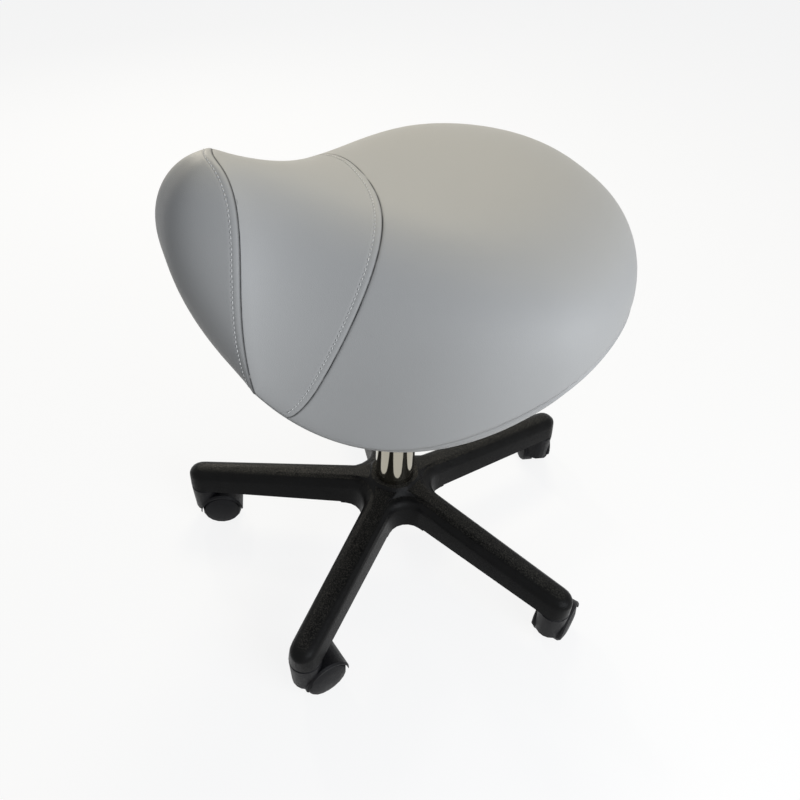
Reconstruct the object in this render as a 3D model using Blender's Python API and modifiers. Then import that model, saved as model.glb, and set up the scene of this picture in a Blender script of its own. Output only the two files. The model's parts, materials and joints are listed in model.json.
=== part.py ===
"""Saddle stool on a gas lift and a five-legged base with twin-wheel casters.

Metres, +Z up. The seat faces -Y and the stool stands on z = 0. Everything is modelled round the column's axis and
then moved, so that the origin lies on the floor under the middle of the stool's outline.
"""
import math

import bmesh
import bpy
import numpy as np
from mathutils import Matrix, Vector

# Clearances
GAP = 0.0003
BUSH_PLAY = 0.0006

# Casters
WHEEL_RADIUS = 0.025
WHEEL_WIDTH = 0.0175
WHEEL_STEPS = 18
CASTER_TRAIL = 0.018
CASTER_WEB = 0.008
HOOD_RADIUS = 0.031
HOOD_END_WALL = 0.0016
HOOD_EDGE = 0.0022
HOOD_WALL = 0.0042
HOOD_WIDTH = 0.0405
HOOD_TOP_WIDTH = 0.038
CASTER_HEIGHT = 0.0665
AXLE_RADIUS = 0.003
STEM_RADIUS = 0.0055
STEM_COLLAR_RADIUS = 0.009
STEM_COLLAR = 0.001
STEM_IN_LEG = 0.022
STEM_IN_CASTER = 0.009
LEG_COUNT = 5
LEG_TURN = math.radians(27.0)
CASTER_HEADINGS = tuple(math.radians(a) for a in (124.0, 165.0, 310.0, 75.0, 102.0))

# Five-legged base
LEG_REACH = 0.256
LEG_HALF_TIP = 0.019
LEG_HALF_HUB = 0.0215
LEG_DEPTH_TIP = 0.029
LEG_DEPTH_HUB = 0.040
LEG_DRAFT = 0.0025
LEG_EDGE_ROUND = 0.0125
LEG_UNDER_RISE = 0.008
LEG_WALL = 0.004
LEG_RIBS = (0.100, 0.160)
LEG_RIB = 0.004
CROTCH_ROUND = 0.024
HUB_HEIGHT = 0.0485
HUB_FOOT = 0.004
HUB_COLLAR_RADIUS = 0.034
TIP_BOSS = 0.013

# Gas lift
TUBE_RADIUS = 0.025
TUBE_WALL = 0.0018
TUBE_LENGTH = 0.2535
TUBE_ABOVE_HUB_FOOT = 0.006
TUBE_TAPER = 0.0012
TUBE_FLOOR = 0.004
BUSH_LENGTH = 0.078
BUSH_COLLAR = 0.004
CYLINDER_RADIUS = 0.014
CYLINDER_WALL = 0.002
CYLINDER_END = 0.008
CYLINDER_SHOWS = 0.010
CYLINDER_TAPER = 0.0010
VALVE_LENGTH = 0.018
ROD_RADIUS = 0.005
ROD_END_RADIUS = 0.004
ROD_END_BELOW = 0.005
PISTON_LENGTH = 0.014
WASHER_RADIUS = 0.014
WASHER = 0.002
BEARING = 0.004
BUFFER = 0.012
CLIP = 0.0015
CLIP_RADIUS = 0.0075
BUTTON_RADIUS = 0.004
BUTTON_PROUD = 0.006

# Seat plate and lever
PLATE_LENGTH = 0.165
PLATE_WIDTH = 0.112
PLATE = 0.003
PLATE_CORNER = 0.012
PAN_LENGTH = 0.086
PAN_WIDTH = 0.096
PAN_DEPTH = 0.030
PAN_DRAFT_ROUND = 0.006
SOCKET_WALL = 0.005
SOCKET_DROP = 0.030
BOLT_FROM_SIDE = 0.016
BOLT_FROM_END = 0.0185
BOLT_RADIUS = 0.004
BOLT_HEAD = 0.005
BOLT_HEAD_RADIUS = 0.0072
INSERT_RADIUS = 0.006
INSERT_DEPTH = 0.010
LEVER_RADIUS = 0.0035
LEVER_BUSH_LENGTH = 0.008
LEVER_BUSH_WALL = 0.0025
LEVER_DROP = 0.094
LEVER_REACH = 0.215
LEVER_PAST_BUTTON = 0.004
GRIP_LENGTH = 0.066
GRIP_WIDTH = 0.024
GRIP_THICK = 0.011
GRIP_OVER_ROD = 0.034

# Seat outline: five even stations from the front edge to the rear end. Heights are above the shell's boss face.
SEAT_FRONT = 0.190
SEAT_REAR = 0.228
SEAT_WIDEST_AT = 0.050
HALF_WIDTHS = (0.106, 0.152, 0.198, 0.208, 0.214)
CROWN_RISES = (0.173, 0.142, 0.124, 0.122, 0.117)
RIM_RISES = (-0.004, -0.071, -0.028, 0.027, 0.015)
FLANK_FULLNESS = (0.93, 1.00, 0.60, 0.72, 0.76)
CROWN_FULLNESS = (1.18, 0.75, 0.61, 0.67, 0.67)
POMMEL_RAKE = 0.0085
POMMEL_RAKE_FADE = 0.12
FRONT_BULGE = 0.051
BULGE_ACROSS = 3.4
BULGE_LIFT = 1.48
BULGE_FULLNESS = 0.43
SEAM_AT_CROWN = -0.0455
SEAM_AT_RIM = -0.165
SEAM_BOW = 1.65

# Seat build-up
COVER = 0.002
CAP_ROOM = 0.0042
SEAM_GAP = 0.0004
FOAM_ROOM = 0.0012
BAND_DROP = 0.020
BAND_IN = 0.012
BAND_FADE = 0.12
BAND_TUCK = 0.012
TUCK_FADE = 0.22
HEM_WIDTH = 0.014
HEM_ROOM = 0.003
UNDER_SHARES = (0.0, 0.33, 0.66)
ARCH_SHARE = 0.55
ARCH_FADE = 0.10
SHELL = 0.009
DUST_COVER = 0.0012
BOSS_DEPTH = 0.028
BOSS_MARGIN = 0.004

# Heights that follow from the sizes above
AXLE_Z = WHEEL_RADIUS
LEG_UNDER_Z = CASTER_HEIGHT + STEM_COLLAR + 2 * GAP
HUB_UNDER_Z = LEG_UNDER_Z + LEG_UNDER_RISE - HUB_FOOT
HUB_TOP_Z = HUB_UNDER_Z + HUB_HEIGHT
TUBE_BOTTOM_Z = HUB_UNDER_Z + TUBE_ABOVE_HUB_FOOT
TUBE_TOP_Z = TUBE_BOTTOM_Z + TUBE_LENGTH
BUSH_TOP_Z = TUBE_TOP_Z + GAP + BUSH_COLLAR
SOCKET_UNDER_Z = BUSH_TOP_Z + CYLINDER_SHOWS
PAN_UNDER_Z = SOCKET_UNDER_Z + SOCKET_DROP
PLATE_TOP_Z = PAN_UNDER_Z + PAN_DEPTH
BOSS_FACE_Z = PLATE_TOP_Z + GAP
CYLINDER_TOP_Z = PAN_UNDER_Z + PLATE + 0.002
BUTTON_TOP_Z = CYLINDER_TOP_Z + BUTTON_PROUD
LEVER_Z = BUTTON_TOP_Z + GAP + LEVER_RADIUS
WASHER_LOW_Z = TUBE_BOTTOM_Z + TUBE_FLOOR + GAP
BEARING_Z = WASHER_LOW_Z + WASHER + GAP
WASHER_HIGH_Z = BEARING_Z + BEARING + GAP
BUFFER_Z = WASHER_HIGH_Z + WASHER + GAP
CYLINDER_BOTTOM_Z = BUFFER_Z + BUFFER + 2 * GAP


# Scene set-up

for old in list(bpy.data.objects):
    bpy.data.objects.remove(old)

PARTS = bpy.data.collections.new("saddle_stool")
CUTTERS = bpy.data.collections.new("saddle_stool_cutters")
bpy.context.scene.collection.children.link(PARTS)
bpy.context.scene.collection.children.link(CUTTERS)


def finish(name, colour, roughness, metallic=0.0):
    """A Principled material of one colour."""
    material = bpy.data.materials.new(name)
    material.use_nodes = True
    shader = material.node_tree.nodes["Principled BSDF"]
    shader.inputs["Base Color"].default_value = (*colour, 1.0)
    shader.inputs["Roughness"].default_value = roughness
    shader.inputs["Metallic"].default_value = metallic
    return material


FINISHES = {
    "vinyl": ((0.40, 0.41, 0.40), 0.45, 0.0),
    "foam": ((0.75, 0.70, 0.52), 0.95, 0.0),
    "shell_plastic": ((0.05, 0.05, 0.05), 0.6, 0.0),
    "dust_cloth": ((0.03, 0.03, 0.03), 0.95, 0.0),
    "nylon": ((0.02, 0.02, 0.02), 0.5, 0.0),
    "chrome": ((0.75, 0.74, 0.70), 0.08, 1.0),
    "steel": ((0.45, 0.45, 0.46), 0.35, 1.0),
    "black_steel": ((0.03, 0.03, 0.03), 0.45, 0.6),
    "rubber": ((0.03, 0.03, 0.03), 0.85, 0.0),
    "bush_plastic": ((0.04, 0.04, 0.04), 0.5, 0.0),
}


def empty(name, parent=None, location=(0, 0, 0), turn=0.0):
    """A pivot without shape."""
    pivot = bpy.data.objects.new(name, None)
    pivot.location = location
    pivot.rotation_euler = (0, 0, turn)
    pivot.parent = parent
    PARTS.objects.link(pivot)
    return pivot


def place(name, mesh, kind, parent, location=(0, 0, 0), rotation=(0, 0, 0)):
    """A named sub-part with its own material, shaded smooth up to its sharp edges."""
    part = bpy.data.objects.new(name, mesh)
    part.parent = parent
    part.location = location
    part.rotation_euler = rotation
    part.data.materials.append(finish(name + "_finish", *FINISHES[kind]))
    mesh.shade_smooth()
    mesh.set_sharp_from_angle(angle=math.radians(35))
    PARTS.objects.link(part)
    return part


def helper(name, mesh, parent, location=(0, 0, 0), rotation=(0, 0, 0)):
    """A shape that only cuts or joins another one."""
    tool = bpy.data.objects.new(name, mesh)
    tool.parent = parent
    tool.location = location
    tool.rotation_euler = rotation
    tool.hide_render = True
    tool.display_type = "WIRE"
    CUTTERS.objects.link(tool)
    return tool


def boolean(part, tool, operation):
    """Cuts the tool from the part, or joins it on."""
    step = part.modifiers.new(tool.name, "BOOLEAN")
    step.operation = operation
    step.solver = "EXACT"
    step.object = tool


def mesh_of(name, points, faces):
    """A mesh with its faces turned outwards."""
    mesh = bpy.data.meshes.new(name)
    mesh.from_pydata([tuple(p) for p in points], [], faces)
    shape = bmesh.new()
    shape.from_mesh(mesh)
    bmesh.ops.recalc_face_normals(shape, faces=shape.faces)
    shape.to_mesh(mesh)
    shape.free()
    return mesh


def loft(name, rings):
    """A closed skin through rings of equal count, with a flat face on the first and the last ring."""
    rings = np.asarray(rings, float)
    count, size = rings.shape[:2]
    faces = []
    for i in range(count - 1):
        for j in range(size):
            k = (j + 1) % size
            faces.append((i * size + j, i * size + k, (i + 1) * size + k, (i + 1) * size + j))
    faces.append(tuple(range(size)))
    faces.append(tuple((count - 1) * size + j for j in range(size)))
    return mesh_of(name, rings.reshape(-1, 3), faces)


def turned(name, profile, steps):
    """The mesh of a profile turned round Z. The profile runs down the outer side, closed or from axis to axis."""
    mesh = bpy.data.meshes.new(name)
    closed = profile[0][0] > 0
    edges = [(i, i + 1) for i in range(len(profile) - 1)]
    if closed:
        edges.append((len(profile) - 1, 0))
    mesh.from_pydata([(r, 0, z) for r, z in profile], edges, [])
    holder = bpy.data.objects.new(name, mesh)
    PARTS.objects.link(holder)
    turn = holder.modifiers.new("turn", "SCREW")
    turn.steps = steps
    turn.render_steps = steps
    turn.use_merge_vertices = True
    turn.merge_threshold = 0.00005
    made = bpy.data.meshes.new_from_object(holder.evaluated_get(bpy.context.evaluated_depsgraph_get()))
    bpy.data.objects.remove(holder)
    bpy.data.meshes.remove(mesh)
    made.name = name
    return made


def tube_profile(outer, inner, low, high):
    """A plain ring's profile."""
    return [(outer, high), (outer, low), (inner, low), (inner, high)]


def disc_profile(radius, low, high):
    """A plain cylinder's profile."""
    return [(0, high), (radius, high), (radius, low), (0, low)]


def box(name, low, high):
    """A box between two corners."""
    shape = bmesh.new()
    bmesh.ops.create_cube(shape, size=1.0)
    low, high = Vector(low), Vector(high)
    for corner in shape.verts:
        corner.co = [(low[i] + high[i]) / 2 + corner.co[i] * (high[i] - low[i]) for i in range(3)]
    mesh = bpy.data.meshes.new(name)
    shape.to_mesh(mesh)
    shape.free()
    return mesh


def round_arc(start, end, steps):
    """Even angles from start to end."""
    return np.linspace(start, end, steps + 1)


ROOT = empty("stool")


# Five-legged base

def leg_half_width(r):
    """Half the leg's width at its foot, narrowing evenly from the hub to the stem."""
    return LEG_HALF_HUB + (LEG_HALF_TIP - LEG_HALF_HUB) * min(r / LEG_REACH, 1.0)


def leg_under(r):
    """Height of the leg's lower edge."""
    root = HUB_UNDER_Z + HUB_FOOT
    return root + (LEG_UNDER_Z - root) * min(r / LEG_REACH, 1.0)


def leg_top(r):
    """Height of the leg's back."""
    return leg_under(r) + LEG_DEPTH_HUB + (LEG_DEPTH_TIP - LEG_DEPTH_HUB) * min(r / LEG_REACH, 1.0)


def leg_section(r, half, low, high, edge_round, draft, arc_steps):
    """An inverted U across the leg at distance r, as points from the right foot over the back to the left foot."""
    side = half - draft
    edge_round = min(edge_round, side * 0.9)
    arc = round_arc(0, math.pi / 2, arc_steps)
    across = [half] + list(side - edge_round + edge_round * np.cos(arc))
    up = [low] + list(high - edge_round + edge_round * np.sin(arc))
    right = [(r, x, z) for x, z in zip(across, up)]
    return right + [(x, -y, z) for x, y, z in reversed(right)]


def leg_mesh(name):
    """One leg along +X, from inside the hub to its round end."""
    rings = [
        leg_section(r, leg_half_width(r), leg_under(r), leg_top(r), LEG_EDGE_ROUND, LEG_DRAFT, 3)
        for r in np.linspace(HUB_COLLAR_RADIUS * 0.6, LEG_REACH, 4)
    ]
    high = leg_top(LEG_REACH)
    for angle in round_arc(0, math.radians(82), 5)[1:]:
        shrink = math.cos(angle)
        r = LEG_REACH + LEG_HALF_TIP * math.sin(angle)
        drop = LEG_EDGE_ROUND * (1 - shrink)
        half = LEG_HALF_TIP * shrink
        rings.append(
            leg_section(r, half, LEG_UNDER_Z, high - drop, LEG_EDGE_ROUND * shrink, LEG_DRAFT * shrink, 3)
        )
    return loft(name, rings)


def hub_ring(inset):
    """The hub's outline in plan, with round crotches between the legs, drawn in by inset."""
    half_angle = math.pi / LEG_COUNT
    foot = LEG_HALF_HUB - 2 * GAP
    centre = (foot + CROTCH_ROUND) / math.sin(half_angle)
    mouth = (foot + CROTCH_ROUND) / math.tan(half_angle) + LEG_HALF_HUB * 0.3
    radius = CROTCH_ROUND + inset
    sweep = math.pi / 2 - half_angle
    points = []
    for k in range(LEG_COUNT):
        leg = LEG_TURN + 2 * half_angle * k
        middle = leg + half_angle
        along, across = Vector((math.cos(leg), math.sin(leg))), Vector((-math.sin(leg), math.cos(leg)))
        for side in (-1, 1):
            points.append(along * mouth + across * side * (foot - inset))
        for angle in round_arc(-sweep, sweep, 6):
            turn = middle + math.pi - angle
            spoke = Vector((math.cos(middle), math.sin(middle)))
            points.append(spoke * centre + radius * Vector((math.cos(turn), math.sin(turn))))
    return np.array([tuple(p) for p in points])


def hub_mesh():
    """The hub between the legs: its rounded upper edges run on from the legs' backs up to a collar round the column."""
    edge = LEG_EDGE_ROUND
    outline = hub_ring(0)
    back = np.array([leg_top(r) for r in np.linalg.norm(outline, axis=1)]) - 2 * GAP
    rings = [np.column_stack([outline, np.full(len(outline), HUB_UNDER_Z)])]
    for angle in round_arc(0, math.pi / 2, 3):
        inset = LEG_DRAFT + edge * (1 - math.cos(angle))
        rings.append(np.column_stack([hub_ring(inset), back - edge + edge * math.sin(angle)]))
    bearing = np.arctan2(outline[:, 1], outline[:, 0])
    for radius, z in ((HUB_COLLAR_RADIUS, HUB_TOP_Z - 0.004), (HUB_COLLAR_RADIUS - 0.003, HUB_TOP_Z)):
        rings.append(np.stack([radius * np.cos(bearing), radius * np.sin(bearing), np.full(len(bearing), z)], 1))
    return loft("hub", rings)


def pocket_mesh(name, start, end):
    """The hollow under a leg between two cross ribs, open below."""
    rings = []
    for r in (start, end):
        half = leg_half_width(r) - LEG_WALL
        top = leg_top(r) - LEG_WALL
        rings.append(leg_section(r, half, leg_under(r) - 3 * LEG_WALL, top, LEG_EDGE_ROUND / 2, LEG_DRAFT, 2))
    return loft(name, rings)


def taper_radius(z):
    """Radius of the column tube, which narrows inside the hub."""
    share = min(max((HUB_TOP_Z - z) / (HUB_TOP_Z - TUBE_BOTTOM_Z), 0.0), 1.0)
    return TUBE_RADIUS - TUBE_TAPER * share


def build_base():
    """The moulded base: hub and legs joined, hollow under the legs, with the column's and the stems' sockets."""
    base = place("five_star_base", hub_mesh(), "nylon", ROOT)
    turns = [LEG_TURN + 2 * math.pi / LEG_COUNT * k for k in range(LEG_COUNT)]
    for k, turn in enumerate(turns):
        boolean(base, helper(f"leg_{k + 1}", leg_mesh("leg"), ROOT, rotation=(0, 0, turn)), "UNION")
    inner = TUBE_RADIUS + LEG_WALL + HUB_COLLAR_RADIUS / 2
    walls = [inner, *LEG_RIBS, LEG_REACH - TIP_BOSS]
    for k, turn in enumerate(turns):
        for n in range(len(walls) - 1):
            start = walls[n] + (LEG_RIB / 2 if n else 0)
            end = walls[n + 1] - LEG_RIB / 2
            pocket = helper(f"pocket_{k + 1}_{n + 1}", pocket_mesh("pocket", start, end), ROOT, rotation=(0, 0, turn))
            boolean(base, pocket, "DIFFERENCE")
        top = LEG_UNDER_Z + STEM_IN_LEG + GAP
        socket = turned("stem_socket", disc_profile(STEM_RADIUS + GAP, LEG_UNDER_Z - LEG_WALL, top), 10)
        at = (LEG_REACH * math.cos(turn), LEG_REACH * math.sin(turn), 0)
        boolean(base, helper(f"stem_socket_{k + 1}", socket, ROOT, at), "DIFFERENCE")
    low, high = HUB_UNDER_Z - LEG_WALL, HUB_TOP_Z + LEG_WALL
    bore = [(0, high), (taper_radius(high) + GAP, high), (taper_radius(low) + GAP, low), (0, low)]
    boolean(base, helper("column_socket", turned("column_socket", bore, 28), ROOT), "DIFFERENCE")


build_base()


# Casters

def across_axle(name, radius, low, high, steps):
    """A cylinder round the axle's line, which lies along Y."""
    mesh = turned(name, disc_profile(radius, low, high), steps)
    mesh.transform(Matrix.Translation((CASTER_TRAIL, 0, AXLE_Z)) @ Matrix.Rotation(math.radians(90), 4, "X"))
    return mesh


def housing_mesh():
    """A caster's housing: a hood over both wheels, a web between them and a round head under the leg."""
    half = HOOD_WIDTH / 2
    rim = [
        (0, half),
        (HOOD_RADIUS - HOOD_EDGE, half),
        (HOOD_RADIUS, half - HOOD_EDGE),
        (HOOD_RADIUS, HOOD_EDGE - half),
        (HOOD_RADIUS - HOOD_EDGE, -half),
        (0, -half),
    ]
    # The hood's ends thin out towards the wheel: it is narrower along the floor than it is high.
    narrow = (HOOD_RADIUS - HOOD_WALL + HOOD_END_WALL) / HOOD_RADIUS
    cover = turned("hood", rim, 24)
    cover.transform(Matrix.Translation((CASTER_TRAIL, 0, AXLE_Z)) @ Matrix.Rotation(math.radians(90), 4, "X"))
    for corner in cover.vertices:
        corner.co.x = CASTER_TRAIL + (corner.co.x - CASTER_TRAIL) * narrow
    hood = helper("hood", cover, None)
    head_radius = HOOD_TOP_WIDTH / 2
    head = [
        (0, CASTER_HEIGHT),
        (head_radius - 0.002, CASTER_HEIGHT),
        (head_radius, CASTER_HEIGHT - 0.002),
        (head_radius - 0.002, AXLE_Z - 0.004),
        (0, AXLE_Z - 0.004),
    ]
    boolean(hood, helper("hood_head", turned("hood_head", head, 18), None), "UNION")
    reach = HOOD_RADIUS * 3
    low_cut = box("hood_cut", (-reach, -reach, -reach), (reach, reach, AXLE_Z + HOOD_EDGE * 0.7))
    boolean(hood, helper("hood_cut", low_cut, None), "DIFFERENCE")
    boss_half = CASTER_WEB / 2 - GAP
    boss = across_axle("axle_boss", AXLE_RADIUS * 2.4, -boss_half, boss_half, 10)
    boolean(hood, helper("axle_boss", boss, None), "UNION")
    for side, word in ((1, "left"), (-1, "right")):
        low, high = sorted((side * CASTER_WEB / 2, side * HOOD_WIDTH))
        pocket = across_axle("wheel_pocket", HOOD_RADIUS - HOOD_WALL, low, high, 20)
        boolean(hood, helper(f"{word}_wheel_pocket", pocket, None), "DIFFERENCE")
    stem_low = CASTER_HEIGHT - STEM_IN_CASTER - GAP
    stem_bore = turned("stem_bore", disc_profile(STEM_RADIUS + GAP, stem_low, CASTER_HEIGHT + STEM_COLLAR), 10)
    boolean(hood, helper("stem_bore", stem_bore, None), "DIFFERENCE")
    axle_bore = across_axle("axle_bore", AXLE_RADIUS + GAP, -CASTER_WEB, CASTER_WEB, 8)
    boolean(hood, helper("axle_bore", axle_bore, None), "DIFFERENCE")
    mesh = bpy.data.meshes.new_from_object(hood.evaluated_get(bpy.context.evaluated_depsgraph_get()))
    shape = bmesh.new()
    shape.from_mesh(mesh)
    bmesh.ops.dissolve_degenerate(shape, edges=shape.edges, dist=0.00005)
    bmesh.ops.triangulate(shape, faces=shape.faces)
    shape.to_mesh(mesh)
    shape.free()
    return mesh


HOUSING = housing_mesh()


def wheel_mesh():
    """One wheel round Z, with a crowned tread, a domed outer face at +Z and a hollow back with a hub."""
    half = WHEEL_WIDTH / 2
    bore = AXLE_RADIUS + GAP
    # Flats of the turned tread touch the floor, so its corners stand a little further out.
    rim = WHEEL_RADIUS / math.cos(math.pi / WHEEL_STEPS)
    return turned(
        "wheel",
        [
            (0, half),
            (rim * 0.60, half - 0.0008),
            (rim * 0.92, half - 0.0030),
            (rim, half - 0.0060),
            (rim, -half),
            (rim - 0.005, -half),
            (rim - 0.006, -half + 0.009),
            (bore + 0.003, -half + 0.009),
            (bore + 0.003, -half),
            (bore, -half),
            (bore, half - 0.004),
            (0, half - 0.004),
        ],
        WHEEL_STEPS,
    )


def build_caster(number, turn, heading):
    """A twin-wheel caster under the end of one leg. Its pivot turns on the stem, its wheels on the axle."""
    stem_at = (LEG_REACH * math.cos(turn), LEG_REACH * math.sin(turn), 0)
    name = f"caster_{number}"
    stem = [
        (0, LEG_UNDER_Z + STEM_IN_LEG),
        (STEM_RADIUS - 0.001, LEG_UNDER_Z + STEM_IN_LEG),
        (STEM_RADIUS, LEG_UNDER_Z + STEM_IN_LEG - 0.002),
        (STEM_RADIUS, LEG_UNDER_Z - GAP),
        (STEM_COLLAR_RADIUS, LEG_UNDER_Z - GAP),
        (STEM_COLLAR_RADIUS, CASTER_HEIGHT + GAP),
        (STEM_RADIUS, CASTER_HEIGHT + GAP),
        (STEM_RADIUS, CASTER_HEIGHT - STEM_IN_CASTER),
        (0, CASTER_HEIGHT - STEM_IN_CASTER),
    ]
    place(f"{name}_stem", turned("stem", stem, 8), "steel", ROOT, stem_at)
    pivot = empty(f"{name}_pivot", ROOT, stem_at, heading)
    place(f"{name}_housing", HOUSING.copy(), "nylon", pivot)

    wheel_middle = CASTER_WEB / 2 + GAP + WHEEL_WIDTH / 2
    axle_half = wheel_middle + WHEEL_WIDTH / 2 - 0.0045
    axle = turned("axle", disc_profile(AXLE_RADIUS, -axle_half, axle_half), 8)
    axle.transform(Matrix.Rotation(math.radians(90), 4, "X"))
    place(f"{name}_axle", axle, "steel", pivot, (CASTER_TRAIL, 0, AXLE_Z))
    # Half a step of turn lays a flat of the tread on the floor.
    flat_down = math.pi / WHEEL_STEPS
    for side, word in ((1, "left"), (-1, "right")):
        wheel = wheel_mesh()
        tip = -math.pi / 2 * side
        wheel.transform(Matrix.Rotation(tip, 4, "X") @ Matrix.Rotation(flat_down, 4, "Z"))
        place(f"{name}_{word}_wheel", wheel, "nylon", pivot, (CASTER_TRAIL, side * wheel_middle, AXLE_Z))


for caster in range(LEG_COUNT):
    build_caster(caster + 1, LEG_TURN + 2 * math.pi / LEG_COUNT * caster, CASTER_HEADINGS[caster])


# Gas lift

SWIVEL = empty("seat_swivel", ROOT)
SLIDE = empty("seat_slide", SWIVEL)


def cylinder_radius(z):
    """Radius of the pressure cylinder, which narrows towards its top inside the taper socket."""
    share = min(max((z - SOCKET_UNDER_Z) / (CYLINDER_TOP_Z - SOCKET_UNDER_Z), 0.0), 1.0)
    return CYLINDER_RADIUS - CYLINDER_TAPER * share


def build_lift():
    """The chrome column, what turns on its thrust bearing, and the cylinder that slides in its bush."""
    bore = TUBE_RADIUS - TUBE_WALL
    floor_top = TUBE_BOTTOM_Z + TUBE_FLOOR
    low_bore = taper_radius(TUBE_BOTTOM_Z) - TUBE_WALL
    rod_hole = ROD_END_RADIUS + GAP
    tube = [
        (TUBE_RADIUS, TUBE_TOP_Z),
        (TUBE_RADIUS, HUB_TOP_Z),
        (taper_radius(TUBE_BOTTOM_Z), TUBE_BOTTOM_Z),
        (rod_hole, TUBE_BOTTOM_Z),
        (rod_hole, floor_top),
        (low_bore, floor_top),
        (bore, HUB_TOP_Z),
        (bore, TUBE_TOP_Z),
    ]
    place("column_tube", turned("column_tube", tube, 28), "chrome", ROOT)

    slide_hole = CYLINDER_RADIUS + GAP
    bush = [
        (TUBE_RADIUS - 0.001, BUSH_TOP_Z),
        (TUBE_RADIUS, BUSH_TOP_Z - 0.0015),
        (TUBE_RADIUS, TUBE_TOP_Z + GAP),
        (bore - GAP, TUBE_TOP_Z + GAP),
        (bore - GAP, TUBE_TOP_Z - BUSH_LENGTH),
        (slide_hole, TUBE_TOP_Z - BUSH_LENGTH),
        (slide_hole, BUSH_TOP_Z),
    ]
    place("guide_bush", turned("guide_bush", bush, 20), "bush_plastic", ROOT)

    end_hole = ROD_END_RADIUS + GAP
    lower = tube_profile(WASHER_RADIUS, end_hole, WASHER_LOW_Z, WASHER_LOW_Z + WASHER)
    place("lower_bearing_washer", turned("lower_bearing_washer", lower, 16), "steel", ROOT)
    ring = tube_profile(WASHER_RADIUS - 0.001, end_hole + 0.001, BEARING_Z, BEARING_Z + BEARING)
    place("thrust_bearing", turned("thrust_bearing", ring, 16), "steel", ROOT)
    upper = tube_profile(WASHER_RADIUS, end_hole, WASHER_HIGH_Z, WASHER_HIGH_Z + WASHER)
    place("upper_bearing_washer", turned("upper_bearing_washer", upper, 16), "steel", SWIVEL)
    buffer = tube_profile(WASHER_RADIUS - 0.001, ROD_RADIUS + GAP, BUFFER_Z, BUFFER_Z + BUFFER)
    place("rubber_buffer", turned("rubber_buffer", buffer, 16), "rubber", SWIVEL)

    piston_top = CYLINDER_TOP_Z - VALVE_LENGTH - GAP
    piston_radius = CYLINDER_RADIUS - CYLINDER_TAPER - CYLINDER_WALL - GAP
    rod_low = TUBE_BOTTOM_Z - ROD_END_BELOW
    rod = [
        (0, piston_top),
        (piston_radius, piston_top),
        (piston_radius, piston_top - PISTON_LENGTH),
        (ROD_RADIUS, piston_top - PISTON_LENGTH),
        (ROD_RADIUS, BUFFER_Z),
        (ROD_END_RADIUS, BUFFER_Z),
        (ROD_END_RADIUS, rod_low),
        (0, rod_low),
    ]
    place("piston_rod", turned("piston_rod", rod, 12), "chrome", SWIVEL)
    clip_top = TUBE_BOTTOM_Z - GAP
    clip = tube_profile(CLIP_RADIUS, ROD_END_RADIUS + GAP, clip_top - CLIP, clip_top)
    place("retaining_clip", turned("retaining_clip", clip, 12), "steel", SWIVEL)

    inside = CYLINDER_RADIUS - CYLINDER_TAPER - CYLINDER_WALL
    chamber_top = CYLINDER_TOP_Z - VALVE_LENGTH
    button_hole = BUTTON_RADIUS + GAP
    cylinder = [
        (cylinder_radius(CYLINDER_TOP_Z), CYLINDER_TOP_Z),
        (CYLINDER_RADIUS, SOCKET_UNDER_Z),
        (CYLINDER_RADIUS, CYLINDER_BOTTOM_Z + 0.002),
        (CYLINDER_RADIUS - 0.002, CYLINDER_BOTTOM_Z),
        (ROD_RADIUS + GAP, CYLINDER_BOTTOM_Z),
        (ROD_RADIUS + GAP, CYLINDER_BOTTOM_Z + CYLINDER_END),
        (inside, CYLINDER_BOTTOM_Z + CYLINDER_END),
        (inside, chamber_top),
        (button_hole, chamber_top),
        (button_hole, CYLINDER_TOP_Z),
    ]
    place("gas_cylinder", turned("gas_cylinder", cylinder, 20), "black_steel", SLIDE)
    button_low = chamber_top + BUTTON_PROUD
    button = [
        (0, BUTTON_TOP_Z),
        (BUTTON_RADIUS * 0.45, BUTTON_TOP_Z - 0.0005),
        (BUTTON_RADIUS, BUTTON_TOP_Z - 0.002),
        (BUTTON_RADIUS, button_low),
        (0, button_low),
    ]
    place("release_button", turned("release_button", button, 12), "steel", SLIDE)


build_lift()


# Seat plate, lever and bolts

PAN_WALL_X = -PAN_WIDTH / 2
LEVER_WALL_X = PAN_WALL_X + PLATE / 2
LEVER_PIVOT_X = LEVER_WALL_X - PLATE / 4


def rounded_slab(name, half_x, half_y, corner, low, high):
    """A slab with round corners."""
    ring = []
    for quarter, (sx, sy) in enumerate(((1, 1), (-1, 1), (-1, -1), (1, -1))):
        for angle in round_arc(quarter * math.pi / 2, (quarter + 1) * math.pi / 2, 3):
            x = sx * (half_x - corner) + corner * math.cos(angle)
            y = sy * (half_y - corner) + corner * math.sin(angle)
            ring.append((x, y))
    return loft(name, [[(x, y, z) for x, y in ring] for z in (low, high)])


def bolt_places():
    """The four bolts' places, at set distances from the plate's edges."""
    x, y = PLATE_WIDTH / 2 - BOLT_FROM_SIDE, PLATE_LENGTH / 2 - BOLT_FROM_END
    return [(sx * x, sy * y) for sy in (-1, 1) for sx in (-1, 1)]


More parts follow.
